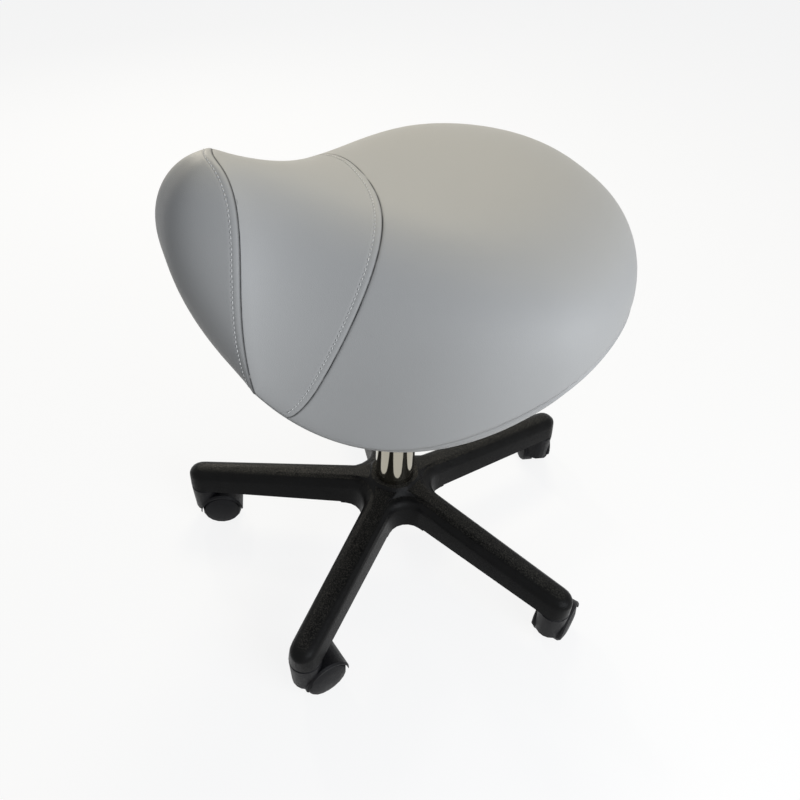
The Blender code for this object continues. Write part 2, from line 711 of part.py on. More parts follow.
def build_plate():
    """A pressed plate: a flange under the seat's boss and a pan that holds the taper socket and lets the lever in."""
    half_x, half_y = PAN_WIDTH / 2, PAN_LENGTH / 2
    flange = rounded_slab(
        "seat_plate", PLATE_WIDTH / 2, PLATE_LENGTH / 2, PLATE_CORNER, PLATE_TOP_Z - PLATE, PLATE_TOP_Z
    )
    plate = place("seat_plate", flange, "black_steel", SLIDE)
    pan = rounded_slab("pan", half_x, half_y, PAN_DRAFT_ROUND, PAN_UNDER_Z, PLATE_TOP_Z - PLATE / 2)
    boolean(plate, helper("pan", pan, SLIDE), "UNION")
    inner_round = PAN_DRAFT_ROUND - PLATE
    hollow = rounded_slab(
        "pan_hollow", half_x - PLATE, half_y - PLATE, inner_round, PAN_UNDER_Z + PLATE, PLATE_TOP_Z + PLATE
    )
    boolean(plate, helper("pan_hollow", hollow, SLIDE), "DIFFERENCE")
    socket_outer = CYLINDER_RADIUS + SOCKET_WALL
    hole = turned("socket_hole", disc_profile(socket_outer + GAP, PAN_UNDER_Z - PLATE, PAN_UNDER_Z + 2 * PLATE), 24)
    boolean(plate, helper("socket_hole", hole, SLIDE), "DIFFERENCE")
    bush_hole = turned("bush_hole", disc_profile(lever_bush_radius() + GAP, -PLATE * 2, PLATE * 2), 16)
    bush_hole.transform(Matrix.Rotation(math.radians(90), 4, "Y"))
    boolean(plate, helper("bush_hole", bush_hole, SLIDE, (LEVER_WALL_X, 0, LEVER_Z)), "DIFFERENCE")
    for n, (x, y) in enumerate(bolt_places()):
        drill = turned("bolt_hole", disc_profile(BOLT_RADIUS + GAP, -PLATE * 2, PLATE * 2), 12)
        boolean(plate, helper(f"bolt_hole_{n + 1}", drill, SLIDE, (x, y, PLATE_TOP_Z)), "DIFFERENCE")

    top = PAN_UNDER_Z + PLATE
    socket = [
        (socket_outer, top),
        (socket_outer, PAN_UNDER_Z - SOCKET_DROP / 2),
        (socket_outer - 0.002, SOCKET_UNDER_Z),
        (cylinder_radius(SOCKET_UNDER_Z) + GAP, SOCKET_UNDER_Z),
        (cylinder_radius(top) + GAP, top),
    ]
    place("taper_socket", turned("taper_socket", socket, 20), "steel", SLIDE)


def lever_bush_radius():
    """Outer radius of the bush that the lever rocks in."""
    return LEVER_RADIUS + BUSH_PLAY + LEVER_BUSH_WALL


def build_bolts():
    """Hex bolts from below through the flange into threaded inserts in the shell's boss."""
    head_top = PLATE_TOP_Z - PLATE - GAP
    for n, (x, y) in enumerate(bolt_places()):
        end = BOSS_FACE_Z + INSERT_DEPTH * 0.8
        shank = [
            (0, end),
            (BOLT_RADIUS, end),
            (BOLT_RADIUS, head_top),
            (BOLT_HEAD_RADIUS, head_top),
            (BOLT_HEAD_RADIUS, head_top - BOLT_HEAD),
            (0, head_top - BOLT_HEAD),
        ]
        place(f"plate_bolt_{n + 1}", turned("plate_bolt", shank, 6), "steel", SLIDE, (x, y, 0))
        thread = BOLT_RADIUS + GAP
        insert = tube_profile(INSERT_RADIUS, thread, BOSS_FACE_Z, BOSS_FACE_Z + INSERT_DEPTH)
        place(f"threaded_insert_{n + 1}", turned("threaded_insert", insert, 12), "steel", SLIDE, (x, y, 0))


def tube_along(name, points, radius, resolution):
    """A round bar along a smooth path, as a mesh with welded ends."""
    curve = bpy.data.curves.new(name, "CURVE")
    curve.dimensions = "3D"
    curve.bevel_depth = radius
    curve.bevel_resolution = resolution
    curve.use_fill_caps = True
    spline = curve.splines.new("POLY")
    spline.points.add(len(points) - 1)
    for knot, p in zip(spline.points, points):
        knot.co = (*p, 1.0)
    holder = bpy.data.objects.new(name, curve)
    PARTS.objects.link(holder)
    mesh = bpy.data.meshes.new_from_object(holder.evaluated_get(bpy.context.evaluated_depsgraph_get()))
    bpy.data.objects.remove(holder)
    shape = bmesh.new()
    shape.from_mesh(mesh)
    bmesh.ops.remove_doubles(shape, verts=shape.verts, dist=0.00001)
    bmesh.ops.recalc_face_normals(shape, faces=shape.faces)
    shape.to_mesh(mesh)
    shape.free()
    return mesh


def lever_path():
    """The lever's centre line from the release button out and down under the seat's edge, seen from its pivot."""
    straight_in = LEVER_PIVOT_X + LEVER_BUSH_LENGTH
    straight_out = LEVER_PIVOT_X - LEVER_BUSH_LENGTH
    bend_end = straight_out - LEVER_DROP * 0.9
    points = [(LEVER_PAST_BUTTON, 0.0), (straight_in, 0.0)]
    for share in np.linspace(0, 1, 9):
        x = straight_out + (bend_end - straight_out) * share
        points.append((x, -LEVER_DROP * (share * share * (3 - 2 * share))))
    points.append((-LEVER_REACH, -LEVER_DROP))
    return [(x - LEVER_PIVOT_X, 0.0, z) for x, z in points]


def build_lever():
    """The height lever on the user's right, rocking in a bush in the pan's wall, with a moulded grip."""
    pivot = empty("lever_pivot", SLIDE, (LEVER_PIVOT_X, 0, LEVER_Z))
    place("height_lever", tube_along("height_lever", lever_path(), LEVER_RADIUS, 1), "black_steel", pivot)
    bush = [
        (lever_bush_radius() + 0.002, LEVER_BUSH_LENGTH / 2 + PLATE / 2),
        (lever_bush_radius() + 0.002, PLATE / 2 + GAP),
        (lever_bush_radius(), PLATE / 2 + GAP),
        (lever_bush_radius(), -LEVER_BUSH_LENGTH / 2),
        (LEVER_RADIUS + BUSH_PLAY, -LEVER_BUSH_LENGTH / 2),
        (LEVER_RADIUS + BUSH_PLAY, LEVER_BUSH_LENGTH / 2 + PLATE / 2),
    ]
    ring = turned("lever_bush", bush, 16)
    ring.transform(Matrix.Rotation(math.radians(-90), 4, "Y"))
    place("lever_bush", ring, "bush_plastic", SLIDE, (LEVER_WALL_X, 0, LEVER_Z))

    rod_end = -LEVER_REACH - LEVER_PIVOT_X
    inner = rod_end + GRIP_OVER_ROD
    outer = inner - GRIP_LENGTH
    shape = bmesh.new()
    bmesh.ops.create_cube(shape, size=1.0)
    for corner in shape.verts:
        flare = 1.0 if corner.co.x < 0 else 0.7
        corner.co.x = (inner + outer) / 2 + corner.co.x * GRIP_LENGTH
        corner.co.y *= GRIP_WIDTH * flare
        corner.co.z = -LEVER_DROP + corner.co.z * GRIP_THICK
    mesh = bpy.data.meshes.new("lever_grip")
    shape.to_mesh(mesh)
    shape.free()
    grip = place("lever_grip", mesh, "nylon", pivot)
    edge = grip.modifiers.new("soft_edges", "BEVEL")
    edge.width = GRIP_THICK * 0.25
    edge.segments = 2
    bore = turned("grip_bore", disc_profile(LEVER_RADIUS + GAP, -GRIP_OVER_ROD - GAP, GRIP_OVER_ROD), 12)
    bore.transform(Matrix.Rotation(math.radians(90), 4, "Y"))
    boolean(grip, helper("grip_bore", bore, pivot, (inner, 0, -LEVER_DROP)), "DIFFERENCE")


build_plate()
build_bolts()
build_lever()


# Seat surface

STATIONS = np.linspace(-SEAT_FRONT, SEAT_REAR, len(HALF_WIDTHS))
ANGLE_COUNT = 23
POMMEL_ROWS = 7
REAR_ROWS = 14
EVEN = np.linspace(-1, 1, ANGLE_COUNT)
ANGLES = math.pi / 2 * np.sign(EVEN) * np.abs(EVEN) ** 0.9
FIRST_Y = -SEAT_FRONT + CAP_ROOM


def along_seat(values, y):
    """A smooth curve through the five stations' values."""
    degree = len(values) - 1
    return np.polynomial.Polynomial.fit(STATIONS, values, degree)(np.asarray(y, float))


def rear_share(y):
    """0 up to the seat's widest station, then up to 1 at the rear end."""
    return np.clip((np.asarray(y, float) - SEAT_WIDEST_AT) / (SEAT_REAR - SEAT_WIDEST_AT), 0, 1)


def half_width(y):
    """Half the seat's width at its rim, closing as half an ellipse behind the widest station."""
    return along_seat(HALF_WIDTHS, y) * np.sqrt(1 - rear_share(y) ** 2)


def rim_z(y):
    """Height of the rim seam."""
    return BOSS_FACE_Z + along_seat(RIM_RISES, y)


def crown_rise(y):
    """Height of the crown over the rim, closing round the rear end."""
    return (along_seat(CROWN_RISES, y) - along_seat(RIM_RISES, y)) * (1 - rear_share(y) ** 5) ** (1 / 3)


def skin(y, angle):
    """Points of the seat's upper surface. The angle runs from -90 degrees at the right rim to 90 at the left one."""
    y, angle = np.broadcast_arrays(np.asarray(y, float), np.asarray(angle, float))
    across = np.abs(np.sin(angle)) ** along_seat(FLANK_FULLNESS, y) * np.sign(angle)
    up = np.clip(np.cos(angle), 0, 1) ** along_seat(CROWN_FULLNESS, y)
    x = half_width(y) * across
    z = rim_z(y) + crown_rise(y) * up
    fade = np.clip(1 - (y + SEAT_FRONT) / POMMEL_RAKE_FADE, 0, 1) ** 2
    height = np.clip((z - rim_z(-SEAT_FRONT)) / crown_rise(-SEAT_FRONT), 0, None)
    return np.stack([x, y + POMMEL_RAKE * fade * height, z], -1)


def seam_y(angle):
    """Where the seam between the pommel panel and the rear panel runs, from the crown forward to the rim."""
    share = np.abs(angle) / (math.pi / 2)
    return SEAM_AT_CROWN + (SEAM_AT_RIM - SEAM_AT_CROWN) * share**SEAM_BOW


def normals_of(grid):
    """Unit normals of a grid of points, on the side where columns cross rows."""
    normal = np.cross(np.gradient(grid, axis=1), np.gradient(grid, axis=0))
    length = np.linalg.norm(normal, axis=-1, keepdims=True)
    return normal / np.maximum(length, 1e-12)


SEAM_Y = seam_y(ANGLES)[None, :]
POMMEL_Y = FIRST_Y + (SEAM_Y - FIRST_Y) * np.linspace(0, 1, POMMEL_ROWS)[:, None]
REAR_Y = SEAM_Y + (SEAT_REAR - SEAM_Y) * np.sin(math.pi / 2 * np.linspace(0, 1, REAR_ROWS) ** 1.25)[:, None]
SKIN_Y = np.vstack([POMMEL_Y, REAR_Y[1:]])
SKIN_NORMALS = normals_of(skin(SKIN_Y, ANGLES))
SKIN_NORMALS[-1] = (0, 1, 0)
EDGE_Y = SKIN_Y[:, 0]


def slab(name, outer, inner):
    """A closed wall between two grids of points."""
    outer, inner = np.asarray(outer, float), np.asarray(inner, float)
    rows, size = outer.shape[:2]
    count = rows * size
    faces = []
    for i in range(rows - 1):
        for j in range(size - 1):
            a = i * size + j
            quad = (a, a + 1, a + size + 1, a + size)
            faces.append(quad)
            faces.append(tuple(count + quad[v] for v in (0, 3, 2, 1)))
    border = [j for j in range(size)]
    border += [i * size + size - 1 for i in range(1, rows)]
    border += [(rows - 1) * size + j for j in range(size - 2, -1, -1)]
    border += [i * size for i in range(rows - 2, 0, -1)]
    for a, b in zip(border, border[1:] + border[:1]):
        faces.append((a, a + count, b + count, b))
    return welded(name, np.concatenate([outer.reshape(-1, 3), inner.reshape(-1, 3)]), faces)


def welded(name, points, faces):
    """A mesh whose coinciding points are one, with its faces turned outwards."""
    mesh = bpy.data.meshes.new(name)
    mesh.from_pydata([tuple(p) for p in points], [], faces)
    shape = bmesh.new()
    shape.from_mesh(mesh)
    bmesh.ops.remove_doubles(shape, verts=shape.verts, dist=0.000002)
    bmesh.ops.triangulate(shape, faces=shape.faces, quad_method="FIXED")
    bmesh.ops.recalc_face_normals(shape, faces=shape.faces)
    shape.to_mesh(mesh)
    shape.free()
    return mesh


# Seat edge and underside

def front_fade(y, length):
    """0 at the front edge, rising smoothly to 1 a length behind it."""
    share = np.clip((np.asarray(y, float) - FIRST_Y) / length, 0, 1)
    return share * share * (3 - 2 * share)


BAND_FADES = front_fade(EDGE_Y, BAND_FADE)
# The band slants further in under the seat's front half.
BAND_DRAWS = BAND_FADES * (BAND_IN + BAND_TUCK * (1 - front_fade(EDGE_Y, TUCK_FADE)))
RISES = along_seat(CROWN_RISES, EDGE_Y) - along_seat(RIM_RISES, EDGE_Y)
ARCHES = ARCH_SHARE * RISES * front_fade(EDGE_Y, ARCH_FADE) * (1 - rear_share(EDGE_Y) ** 2)


def edge_outwards():
    """Unit vectors in plan, pointing out from the left rim. They turn straight sideways at the front edge."""
    slope = np.gradient(np.stack([half_width(EDGE_Y), EDGE_Y], 1), axis=0)
    outwards = np.stack([slope[:, 1], -slope[:, 0] * front_fade(EDGE_Y, ARCH_FADE)], 1)
    outwards[-1] = (0, 1)
    return outwards / np.linalg.norm(outwards, axis=1, keepdims=True)


OUTWARDS = edge_outwards()
SKIN_NORMALS[:, -1] = np.column_stack([OUTWARDS, np.zeros(len(EDGE_Y))])
SKIN_NORMALS[:, 0] = SKIN_NORMALS[:, -1] * np.array([-1, 1, 1])


def rim_line(depth):
    """The left rim, sunk by depth."""
    plan = np.stack([half_width(EDGE_Y), EDGE_Y], 1) - OUTWARDS * depth
    return np.column_stack([plan, rim_z(EDGE_Y)])


def foot_line(inset, depth):
    """A line along the underside, inset from the band's lower edge on the left, raised by depth."""
    draw = (BAND_DRAWS + inset)[:, None]
    plan = np.stack([half_width(EDGE_Y), EDGE_Y], 1) - OUTWARDS * draw
    low = rim_z(EDGE_Y) - BAND_DROP * BAND_FADES
    rise = ARCHES * (1 - (1 - np.minimum(inset / UNDER_HALF, 1)) ** 2)
    return np.column_stack([plan, low + rise + depth])


UNDER_HALF = np.maximum(half_width(EDGE_Y) - BAND_DRAWS, COVER)


def underside(shares, rows, raised):
    """The arched underside inside the hem: rows along the seat, columns at shares of the half width there."""
    line = foot_line(HEM_WIDTH + HEM_ROOM, 0)[rows]
    shares = np.asarray(shares, float)[None, :]
    x = line[:, :1] * shares
    low = (rim_z(EDGE_Y) - BAND_DROP * BAND_FADES)[rows, None]
    z = low + ARCHES[rows, None] * (1 - (x / UNDER_HALF[rows, None]) ** 2) + raised
    return np.stack([x, np.repeat(line[:, 1:2], shares.shape[1], axis=1), z], -1)


def under_z(x, y):
    """Height of the underside near its middle."""
    middle = underside([0.0], slice(None), 0)[:, 0]
    low = np.interp(y, middle[:, 1], rim_z(EDGE_Y) - BAND_DROP * BAND_FADES)
    arch = np.interp(y, middle[:, 1], ARCHES)
    half = np.interp(y, middle[:, 1], UNDER_HALF)
    return low + arch * (1 - (x / half) ** 2)


def mirrored(line):
    """The same line on the user's right."""
    return line * np.array([-1, 1, 1])


# Seat pieces

SHELL_ROWS = slice(POMMEL_ROWS + 1, POMMEL_ROWS + 10)
DUST_ROWS = slice(POMMEL_ROWS - 1, POMMEL_ROWS + 10)
SHELL_LOW = DUST_COVER + GAP
SHELL_HIGH = SHELL_LOW + SHELL


def cap_grid(edge, columns, foot):
    """A padded front surface across the front edge's arch, swelling from the height of its foot up to its top."""
    middle = len(edge) // 2
    rows = []
    top = edge[middle, 2]
    for k in range(middle + 1):
        x, y, z = edge[len(edge) - 1 - k]
        share = min(max((z - foot) / (top - foot), 0.0), 1.0)
        swell = math.sin(math.pi * share**BULGE_LIFT) ** BULGE_FULLNESS
        forward = FRONT_BULGE * (1 - np.abs(columns) ** BULGE_ACROSS) * swell
        rows.append(np.stack([x * columns, y - forward, np.full(len(columns), z)], 1))
    return np.array(rows)


def build_covers():
    """The sewn covers: two panels over the top, the front panel and the band under the rim."""
    pommel_y = POMMEL_Y.copy()
    pommel_y[-1] -= SEAM_GAP
    pommel = skin(pommel_y, ANGLES)
    inner = pommel - COVER * SKIN_NORMALS[:POMMEL_ROWS]
    place("pommel_panel", slab("pommel_panel", pommel, inner), "vinyl", SLIDE)

    rear_y = REAR_Y.copy()
    rear_y[0] += SEAM_GAP
    rear = skin(rear_y, ANGLES)
    inner = rear - COVER * SKIN_NORMALS[POMMEL_ROWS - 1:]
    place("rear_seat_panel", slab("rear_seat_panel", rear, inner), "vinyl", SLIDE)

    columns = np.sin(np.linspace(-math.pi / 2, math.pi / 2, 13))
    front = cap_grid(skin(np.full(ANGLE_COUNT, -SEAT_FRONT), ANGLES), columns, rim_z(-SEAT_FRONT))
    normals = normals_of(front)
    normals[-1] = normals[-2, len(columns) // 2]
    place("front_panel", slab("front_panel", front, front - COVER * normals), "vinyl", SLIDE)

    rows = slice(POMMEL_ROWS, None)
    below = np.array([0, 0, -SEAM_GAP])
    outer = np.stack([rim_line(0) + below, foot_line(0, 0), foot_line(HEM_WIDTH, 0)], 1)[rows]
    inner = np.stack([rim_line(COVER) + below, foot_line(COVER, COVER), foot_line(HEM_WIDTH, COVER)], 1)[rows]
    outer = np.concatenate([outer, mirrored(outer)[-2::-1]])
    inner = np.concatenate([inner, mirrored(inner)[-2::-1]])
    place("edge_band", slab("edge_band", outer, inner), "vinyl", SLIDE)


def build_foam():
    """The moulded foam under the covers, hollowed below for the shell."""
    sink = COVER + FOAM_ROOM
    over = skin(SKIN_Y, ANGLES) - sink * SKIN_NORMALS
    raised = np.minimum(sink, BAND_DROP * BAND_FADES)
    rim = rim_line(sink)
    over[:, -1] = rim
    over[:, 0] = mirrored(rim)
    pocket = np.zeros(len(EDGE_Y))
    pocket[SHELL_ROWS] = 1
    lift = raised + (SHELL_HIGH + FOAM_ROOM - raised) * pocket
    inside = underside([1 - FOAM_ROOM * 2, *UNDER_SHARES[::-1]], slice(None), lift[:, None])
    left = np.stack([foot_line(sink, raised), foot_line(HEM_WIDTH + GAP, raised)], 1)
    left = np.concatenate([left, inside], 1)
    under = np.concatenate([mirrored(left), left[:, -2::-1]], 1)
    rings = np.concatenate([over[:, ::-1], under], 1)
    rows, size = rings.shape[:2]
    faces = []
    for i in range(rows - 1):
        for j in range(size):
            k = (j + 1) % size
            quad = (i * size + j, i * size + k, (i + 1) * size + k, (i + 1) * size + j)
            # Each split follows the neighbour's: the shell's over the hollow, the covers' elsewhere.
            over_shell = ANGLE_COUNT + 1 < j < size - 2
            faces.append(quad if over_shell else quad[1:] + quad[:1])
    columns = under[0, :, 0] / under[0, -1, 0]
    front = cap_grid(over[0], columns, rim_z(-SEAT_FRONT) + 6 * COVER)
    first = rows * size
    wide = len(columns)
    for i in range(len(front) - 1):
        for j in range(wide - 1):
            a = first + i * wide + j
            faces.append((a, a + 1, a + wide + 1, a + wide))
    points = np.concatenate([rings.reshape(-1, 3), front.reshape(-1, 3)])
    place("seat_foam", welded("seat_foam", points, faces), "foam", SLIDE)


def both_sides(edge):
    """Shares of the half width from the right edge to the left one."""
    left = [*UNDER_SHARES[1:], edge]
    return [-share for share in reversed(left)] + [UNDER_SHARES[0]] + left


def build_shell():
    """The moulded shell with a flat boss for the seat plate, and the cloth that closes the underside."""
    shares = both_sides(1 - FOAM_ROOM * 15)
    low = underside(shares, SHELL_ROWS, SHELL_LOW)
    high = underside(shares, SHELL_ROWS, SHELL_HIGH)
    shell = place("seat_shell", slab("seat_shell", high, low), "shell_plastic", SLIDE)
    half_x, half_y = PLATE_WIDTH / 2 + BOSS_MARGIN, PLATE_LENGTH / 2 + BOSS_MARGIN
    x, y = np.meshgrid(np.linspace(-half_x, half_x, 5), np.linspace(-half_y, half_y, 7))
    top = np.stack([x, y, under_z(x, y) + SHELL_LOW + SHELL / 2], -1)
    face = np.stack([x, y, np.full_like(x, BOSS_FACE_Z)], -1)
    boolean(shell, helper("shell_boss", slab("shell_boss", top, face), SLIDE), "UNION")
    for n, (bx, by) in enumerate(bolt_places()):
        hole = disc_profile(INSERT_RADIUS + GAP, BOSS_FACE_Z - PLATE, BOSS_FACE_Z + INSERT_DEPTH + GAP)
        drill = helper(f"insert_hole_{n + 1}", turned("insert_hole", hole, 12), SLIDE, (bx, by, 0))
        boolean(shell, drill, "DIFFERENCE")

    shares = both_sides(1.0)
    cloth = slab("dust_cover", underside(shares, DUST_ROWS, DUST_COVER), underside(shares, DUST_ROWS, 0))
    cover = place("dust_cover", cloth, "dust_cloth", SLIDE)
    room = BOSS_MARGIN / 4
    low_corner = (-half_x - room, -half_y - room, BOSS_FACE_Z - BOSS_DEPTH)
    high_corner = (half_x + room, half_y + room, BOSS_FACE_Z + 4 * BOSS_DEPTH)
    boolean(cover, helper("boss_opening", box("boss_opening", low_corner, high_corner), SLIDE), "DIFFERENCE")


build_covers()
build_foam()
build_shell()


# Origin on the floor under the middle of the outline

def centre_footprint():
    """Moves the whole stool so that the middle of its outline in plan lies over the origin."""
    graph = bpy.context.evaluated_depsgraph_get()
    corners = []
    for part in PARTS.objects:
        if part.type == "MESH":
            shown = part.evaluated_get(graph)
            corners += [shown.matrix_world @ Vector(corner) for corner in shown.bound_box]
    corners = np.array(corners)
    middle = (corners.min(0) + corners.max(0)) / 2
    ROOT.location = (-middle[0], -middle[1], 0)


centre_footprint()
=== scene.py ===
# %% [markdown]
# # Dressing a saddle stool
# The solids of the stool come ready made, each on its moving body. This lesson gives them the looks of the
# real thing: a sewn vinyl saddle over foam, a chrome column, and a black moulded base on hooded casters.
# The solids are loaded first. They are a fixed frame, and nothing below moves one of them.

# %% Load the solids
import json
import math

import bmesh
import bpy
import numpy as np
from mathutils import Matrix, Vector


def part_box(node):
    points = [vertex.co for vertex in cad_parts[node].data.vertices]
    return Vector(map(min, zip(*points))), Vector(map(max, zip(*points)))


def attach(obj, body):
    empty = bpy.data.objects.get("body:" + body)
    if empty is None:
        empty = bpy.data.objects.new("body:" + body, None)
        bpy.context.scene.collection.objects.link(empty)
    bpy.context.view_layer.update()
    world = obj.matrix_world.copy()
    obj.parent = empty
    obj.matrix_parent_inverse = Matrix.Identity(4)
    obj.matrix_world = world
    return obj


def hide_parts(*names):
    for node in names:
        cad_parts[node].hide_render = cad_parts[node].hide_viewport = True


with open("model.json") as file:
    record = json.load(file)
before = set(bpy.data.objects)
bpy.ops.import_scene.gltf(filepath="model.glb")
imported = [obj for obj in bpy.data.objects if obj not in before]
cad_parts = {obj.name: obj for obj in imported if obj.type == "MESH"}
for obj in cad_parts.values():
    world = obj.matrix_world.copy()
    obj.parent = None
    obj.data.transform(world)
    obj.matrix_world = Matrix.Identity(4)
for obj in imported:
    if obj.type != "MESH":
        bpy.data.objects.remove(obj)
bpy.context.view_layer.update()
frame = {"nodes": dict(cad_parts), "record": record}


def placed(name, data):
    """A new object for the data, put in the scene."""
    made = bpy.data.objects.new(name, data)
    bpy.context.scene.collection.objects.link(made)
    return made


column_low, column_high = (np.array(corner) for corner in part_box("column_tube"))
COLUMN = (column_low + column_high) / 2 * np.array([1, 1, 0])

# %% [markdown]
# ## Camera
# The photograph looks down on the stool from its front left. A camera is a place, three directions and a
# focal length, so it can be written as a matrix. The focal length was found in pixels of an 800 pixel
# frame, and a 36 mm sensor turns it into a lens in millimetres. The slight roll is the photographer's hand.

# %% Place the camera
FRAME_PIXELS = 800
FOCAL_PIXELS = 765.2
SENSOR_MM = 36.0
CAMERA_TURN = math.radians(65.0)
CAMERA_DIP = math.radians(42.49)
CAMERA_ROLL = math.radians(3.26)
CAMERA_BACK = 0.675
CAMERA_ASIDE = 0.002
CAMERA_HEIGHT = 0.864


def camera_directions():
    """Unit vectors to the right, upwards and forwards of a camera that is turned, dipped and rolled."""
    level = np.array([math.cos(CAMERA_TURN), math.sin(CAMERA_TURN), 0])
    ahead = np.array([-math.sin(CAMERA_TURN), math.cos(CAMERA_TURN), 0])
    up = np.array([0, 0, 1.0])
    forward = math.cos(CAMERA_DIP) * ahead - math.sin(CAMERA_DIP) * up
    upright = math.sin(CAMERA_DIP) * ahead + math.cos(CAMERA_DIP) * up
    right = math.cos(CAMERA_ROLL) * level + math.sin(CAMERA_ROLL) * upright
    over = math.cos(CAMERA_ROLL) * upright - math.sin(CAMERA_ROLL) * level
    return level, ahead, right, over, forward


level, ahead, right, over, forward = camera_directions()
camera_data = bpy.data.cameras.new("photo_camera")
camera_data.sensor_width = SENSOR_MM
camera_data.lens = FOCAL_PIXELS / FRAME_PIXELS * SENSOR_MM
camera = placed("photo_camera", camera_data)
eye = COLUMN + CAMERA_ASIDE * level - CAMERA_BACK * ahead + np.array([0, 0, CAMERA_HEIGHT])
pose = np.eye(4)
pose[:3, 0], pose[:3, 1], pose[:3, 2], pose[:3, 3] = right, over, -forward, eye
camera.matrix_world = Matrix(pose.tolist())
bpy.context.scene.camera = camera
print("lens", round(camera_data.lens, 2), "mm at", eye.round(3))

# %% [markdown]
# ## Node helpers
# A shader is a small graph. One helper adds a node and feeds its inputs, each with a value or with another
# node's output, so that a material reads as a list of what it is made of. Effects that several finishes
# share are node groups, built once and placed with their own values.

# %% Helpers for shader nodes


def add(tree, kind, feeds=None, **settings):
    """A node of that kind. Feeds are values or other nodes' outputs, by the input's name or place."""
    made = tree.nodes.new(kind)
    for key, value in settings.items():
        setattr(made, key, value)
    for key, value in (feeds or {}).items():
        if isinstance(value, bpy.types.NodeSocket):
            tree.links.new(value, made.inputs[key])
        else:
            made.inputs[key].default_value = value
    return made


def maths(tree, operation, first, second=0.0):
    """One sum on one or two values."""
    return add(tree, "ShaderNodeMath", {0: first, 1: second}, operation=operation).outputs[0]


def new_group(name, inputs, outputs):
    """An empty node group with named sockets."""
    group = bpy.data.node_groups.new(name, "ShaderNodeTree")
    for label, kind in inputs:
        group.interface.new_socket(label, in_out="INPUT", socket_type=kind)
    for label, kind in outputs:
        group.interface.new_socket(label, in_out="OUTPUT", socket_type=kind)
    return group, group.nodes.new("NodeGroupInput").outputs, group.nodes.new("NodeGroupOutput").inputs


# %% [markdown]
# ## Shared effects
# Moulded nylon and vinyl both carry a leather-like grain: small cells with soft valleys between them.
# Voronoi's distance to the nearest cell edge gives the valleys, and a little noise on its coordinates keeps
# the cells from looking like tiles. No surface is one flat colour either, so a second group drifts colour
# and roughness slowly. A third finds a noise's tips on surfaces that face up, and there a highlight is
# painted into the colour of the stool's legs.

# %% Grain, mottle and painted highlight groups
FLOAT, COLOR, VECTOR = "NodeSocketFloat", "NodeSocketColor", "NodeSocketVector"
GRAIN_DRIFT_SCALE = 240.0
GRAIN_DRIFT = 0.0016
GRAIN_VALLEY = 0.28
GRAIN_SPECK_SCALE = 2600.0
GRAIN_SPECK = 0.25
MOTTLE_FROM, MOTTLE_TO = 0.3, 0.7
FACING_FROM, FACING_TO = 0.90, 1.0
TIPS_FROM, TIPS_TO = 0.46, 0.66


def build_grain():
    """Cells of leather grain: height 0 in the valleys and 1 on the cells."""
    inputs = [("Vector", VECTOR), ("Cells", FLOAT)]
    group, given, wanted = new_group("leather_grain", inputs, [("Height", FLOAT)])
    drift = add(group, "ShaderNodeTexNoise",
                {"Vector": given["Vector"], "Scale": GRAIN_DRIFT_SCALE, "Detail": 2.0})
    centred = add(group, "ShaderNodeVectorMath", {0: drift.outputs["Color"], 1: (0.5, 0.5, 0.5)},
                  operation="SUBTRACT")
    small = add(group, "ShaderNodeVectorMath", {0: centred.outputs[0], "Scale": GRAIN_DRIFT},
                operation="SCALE")
    bent = add(group, "ShaderNodeVectorMath", {0: given["Vector"], 1: small.outputs[0]}, operation="ADD")
    cells = add(group, "ShaderNodeTexVoronoi", {"Vector": bent.outputs[0], "Scale": given["Cells"]},
                feature="DISTANCE_TO_EDGE")
    dome = add(group, "ShaderNodeMapRange", {"Value": cells.outputs["Distance"], "From Max": GRAIN_VALLEY},
               interpolation_type="SMOOTHSTEP")
    fine = add(group, "ShaderNodeTexNoise",
               {"Vector": given["Vector"], "Scale": GRAIN_SPECK_SCALE, "Detail": 3.0})
    speck = maths(group, "MULTIPLY", fine.outputs["Fac"], GRAIN_SPECK)
    group.links.new(maths(group, "ADD", dome.outputs["Result"], speck), wanted["Height"])
    return group


def build_mottle():
    """Colour and roughness that drift between two values in soft patches."""
    inputs = [("Vector", VECTOR), ("Patches", FLOAT), ("Color A", COLOR), ("Color B", COLOR),
              ("Roughness A", FLOAT), ("Roughness B", FLOAT)]
    group, given, wanted = new_group("mottle", inputs, [("Color", COLOR), ("Roughness", FLOAT)])
    cloud = add(group, "ShaderNodeTexNoise",
                {"Vector": given["Vector"], "Scale": given["Patches"], "Detail": 4.0})
    spread = add(group, "ShaderNodeMapRange",
                 {"Value": cloud.outputs["Fac"], "From Min": MOTTLE_FROM, "From Max": MOTTLE_TO})
    share = spread.outputs["Result"]
    mixed = add(group, "ShaderNodeMix", {"Factor": share, "A": given["Color A"], "B": given["Color B"]},
                data_type="RGBA")
    rough = add(group, "ShaderNodeMapRange",
                {"Value": share, "To Min": given["Roughness A"], "To Max": given["Roughness B"]})
    group.links.new(mixed.outputs["Result"], wanted["Color"])
    group.links.new(rough.outputs["Result"], wanted["Roughness"])
    return group


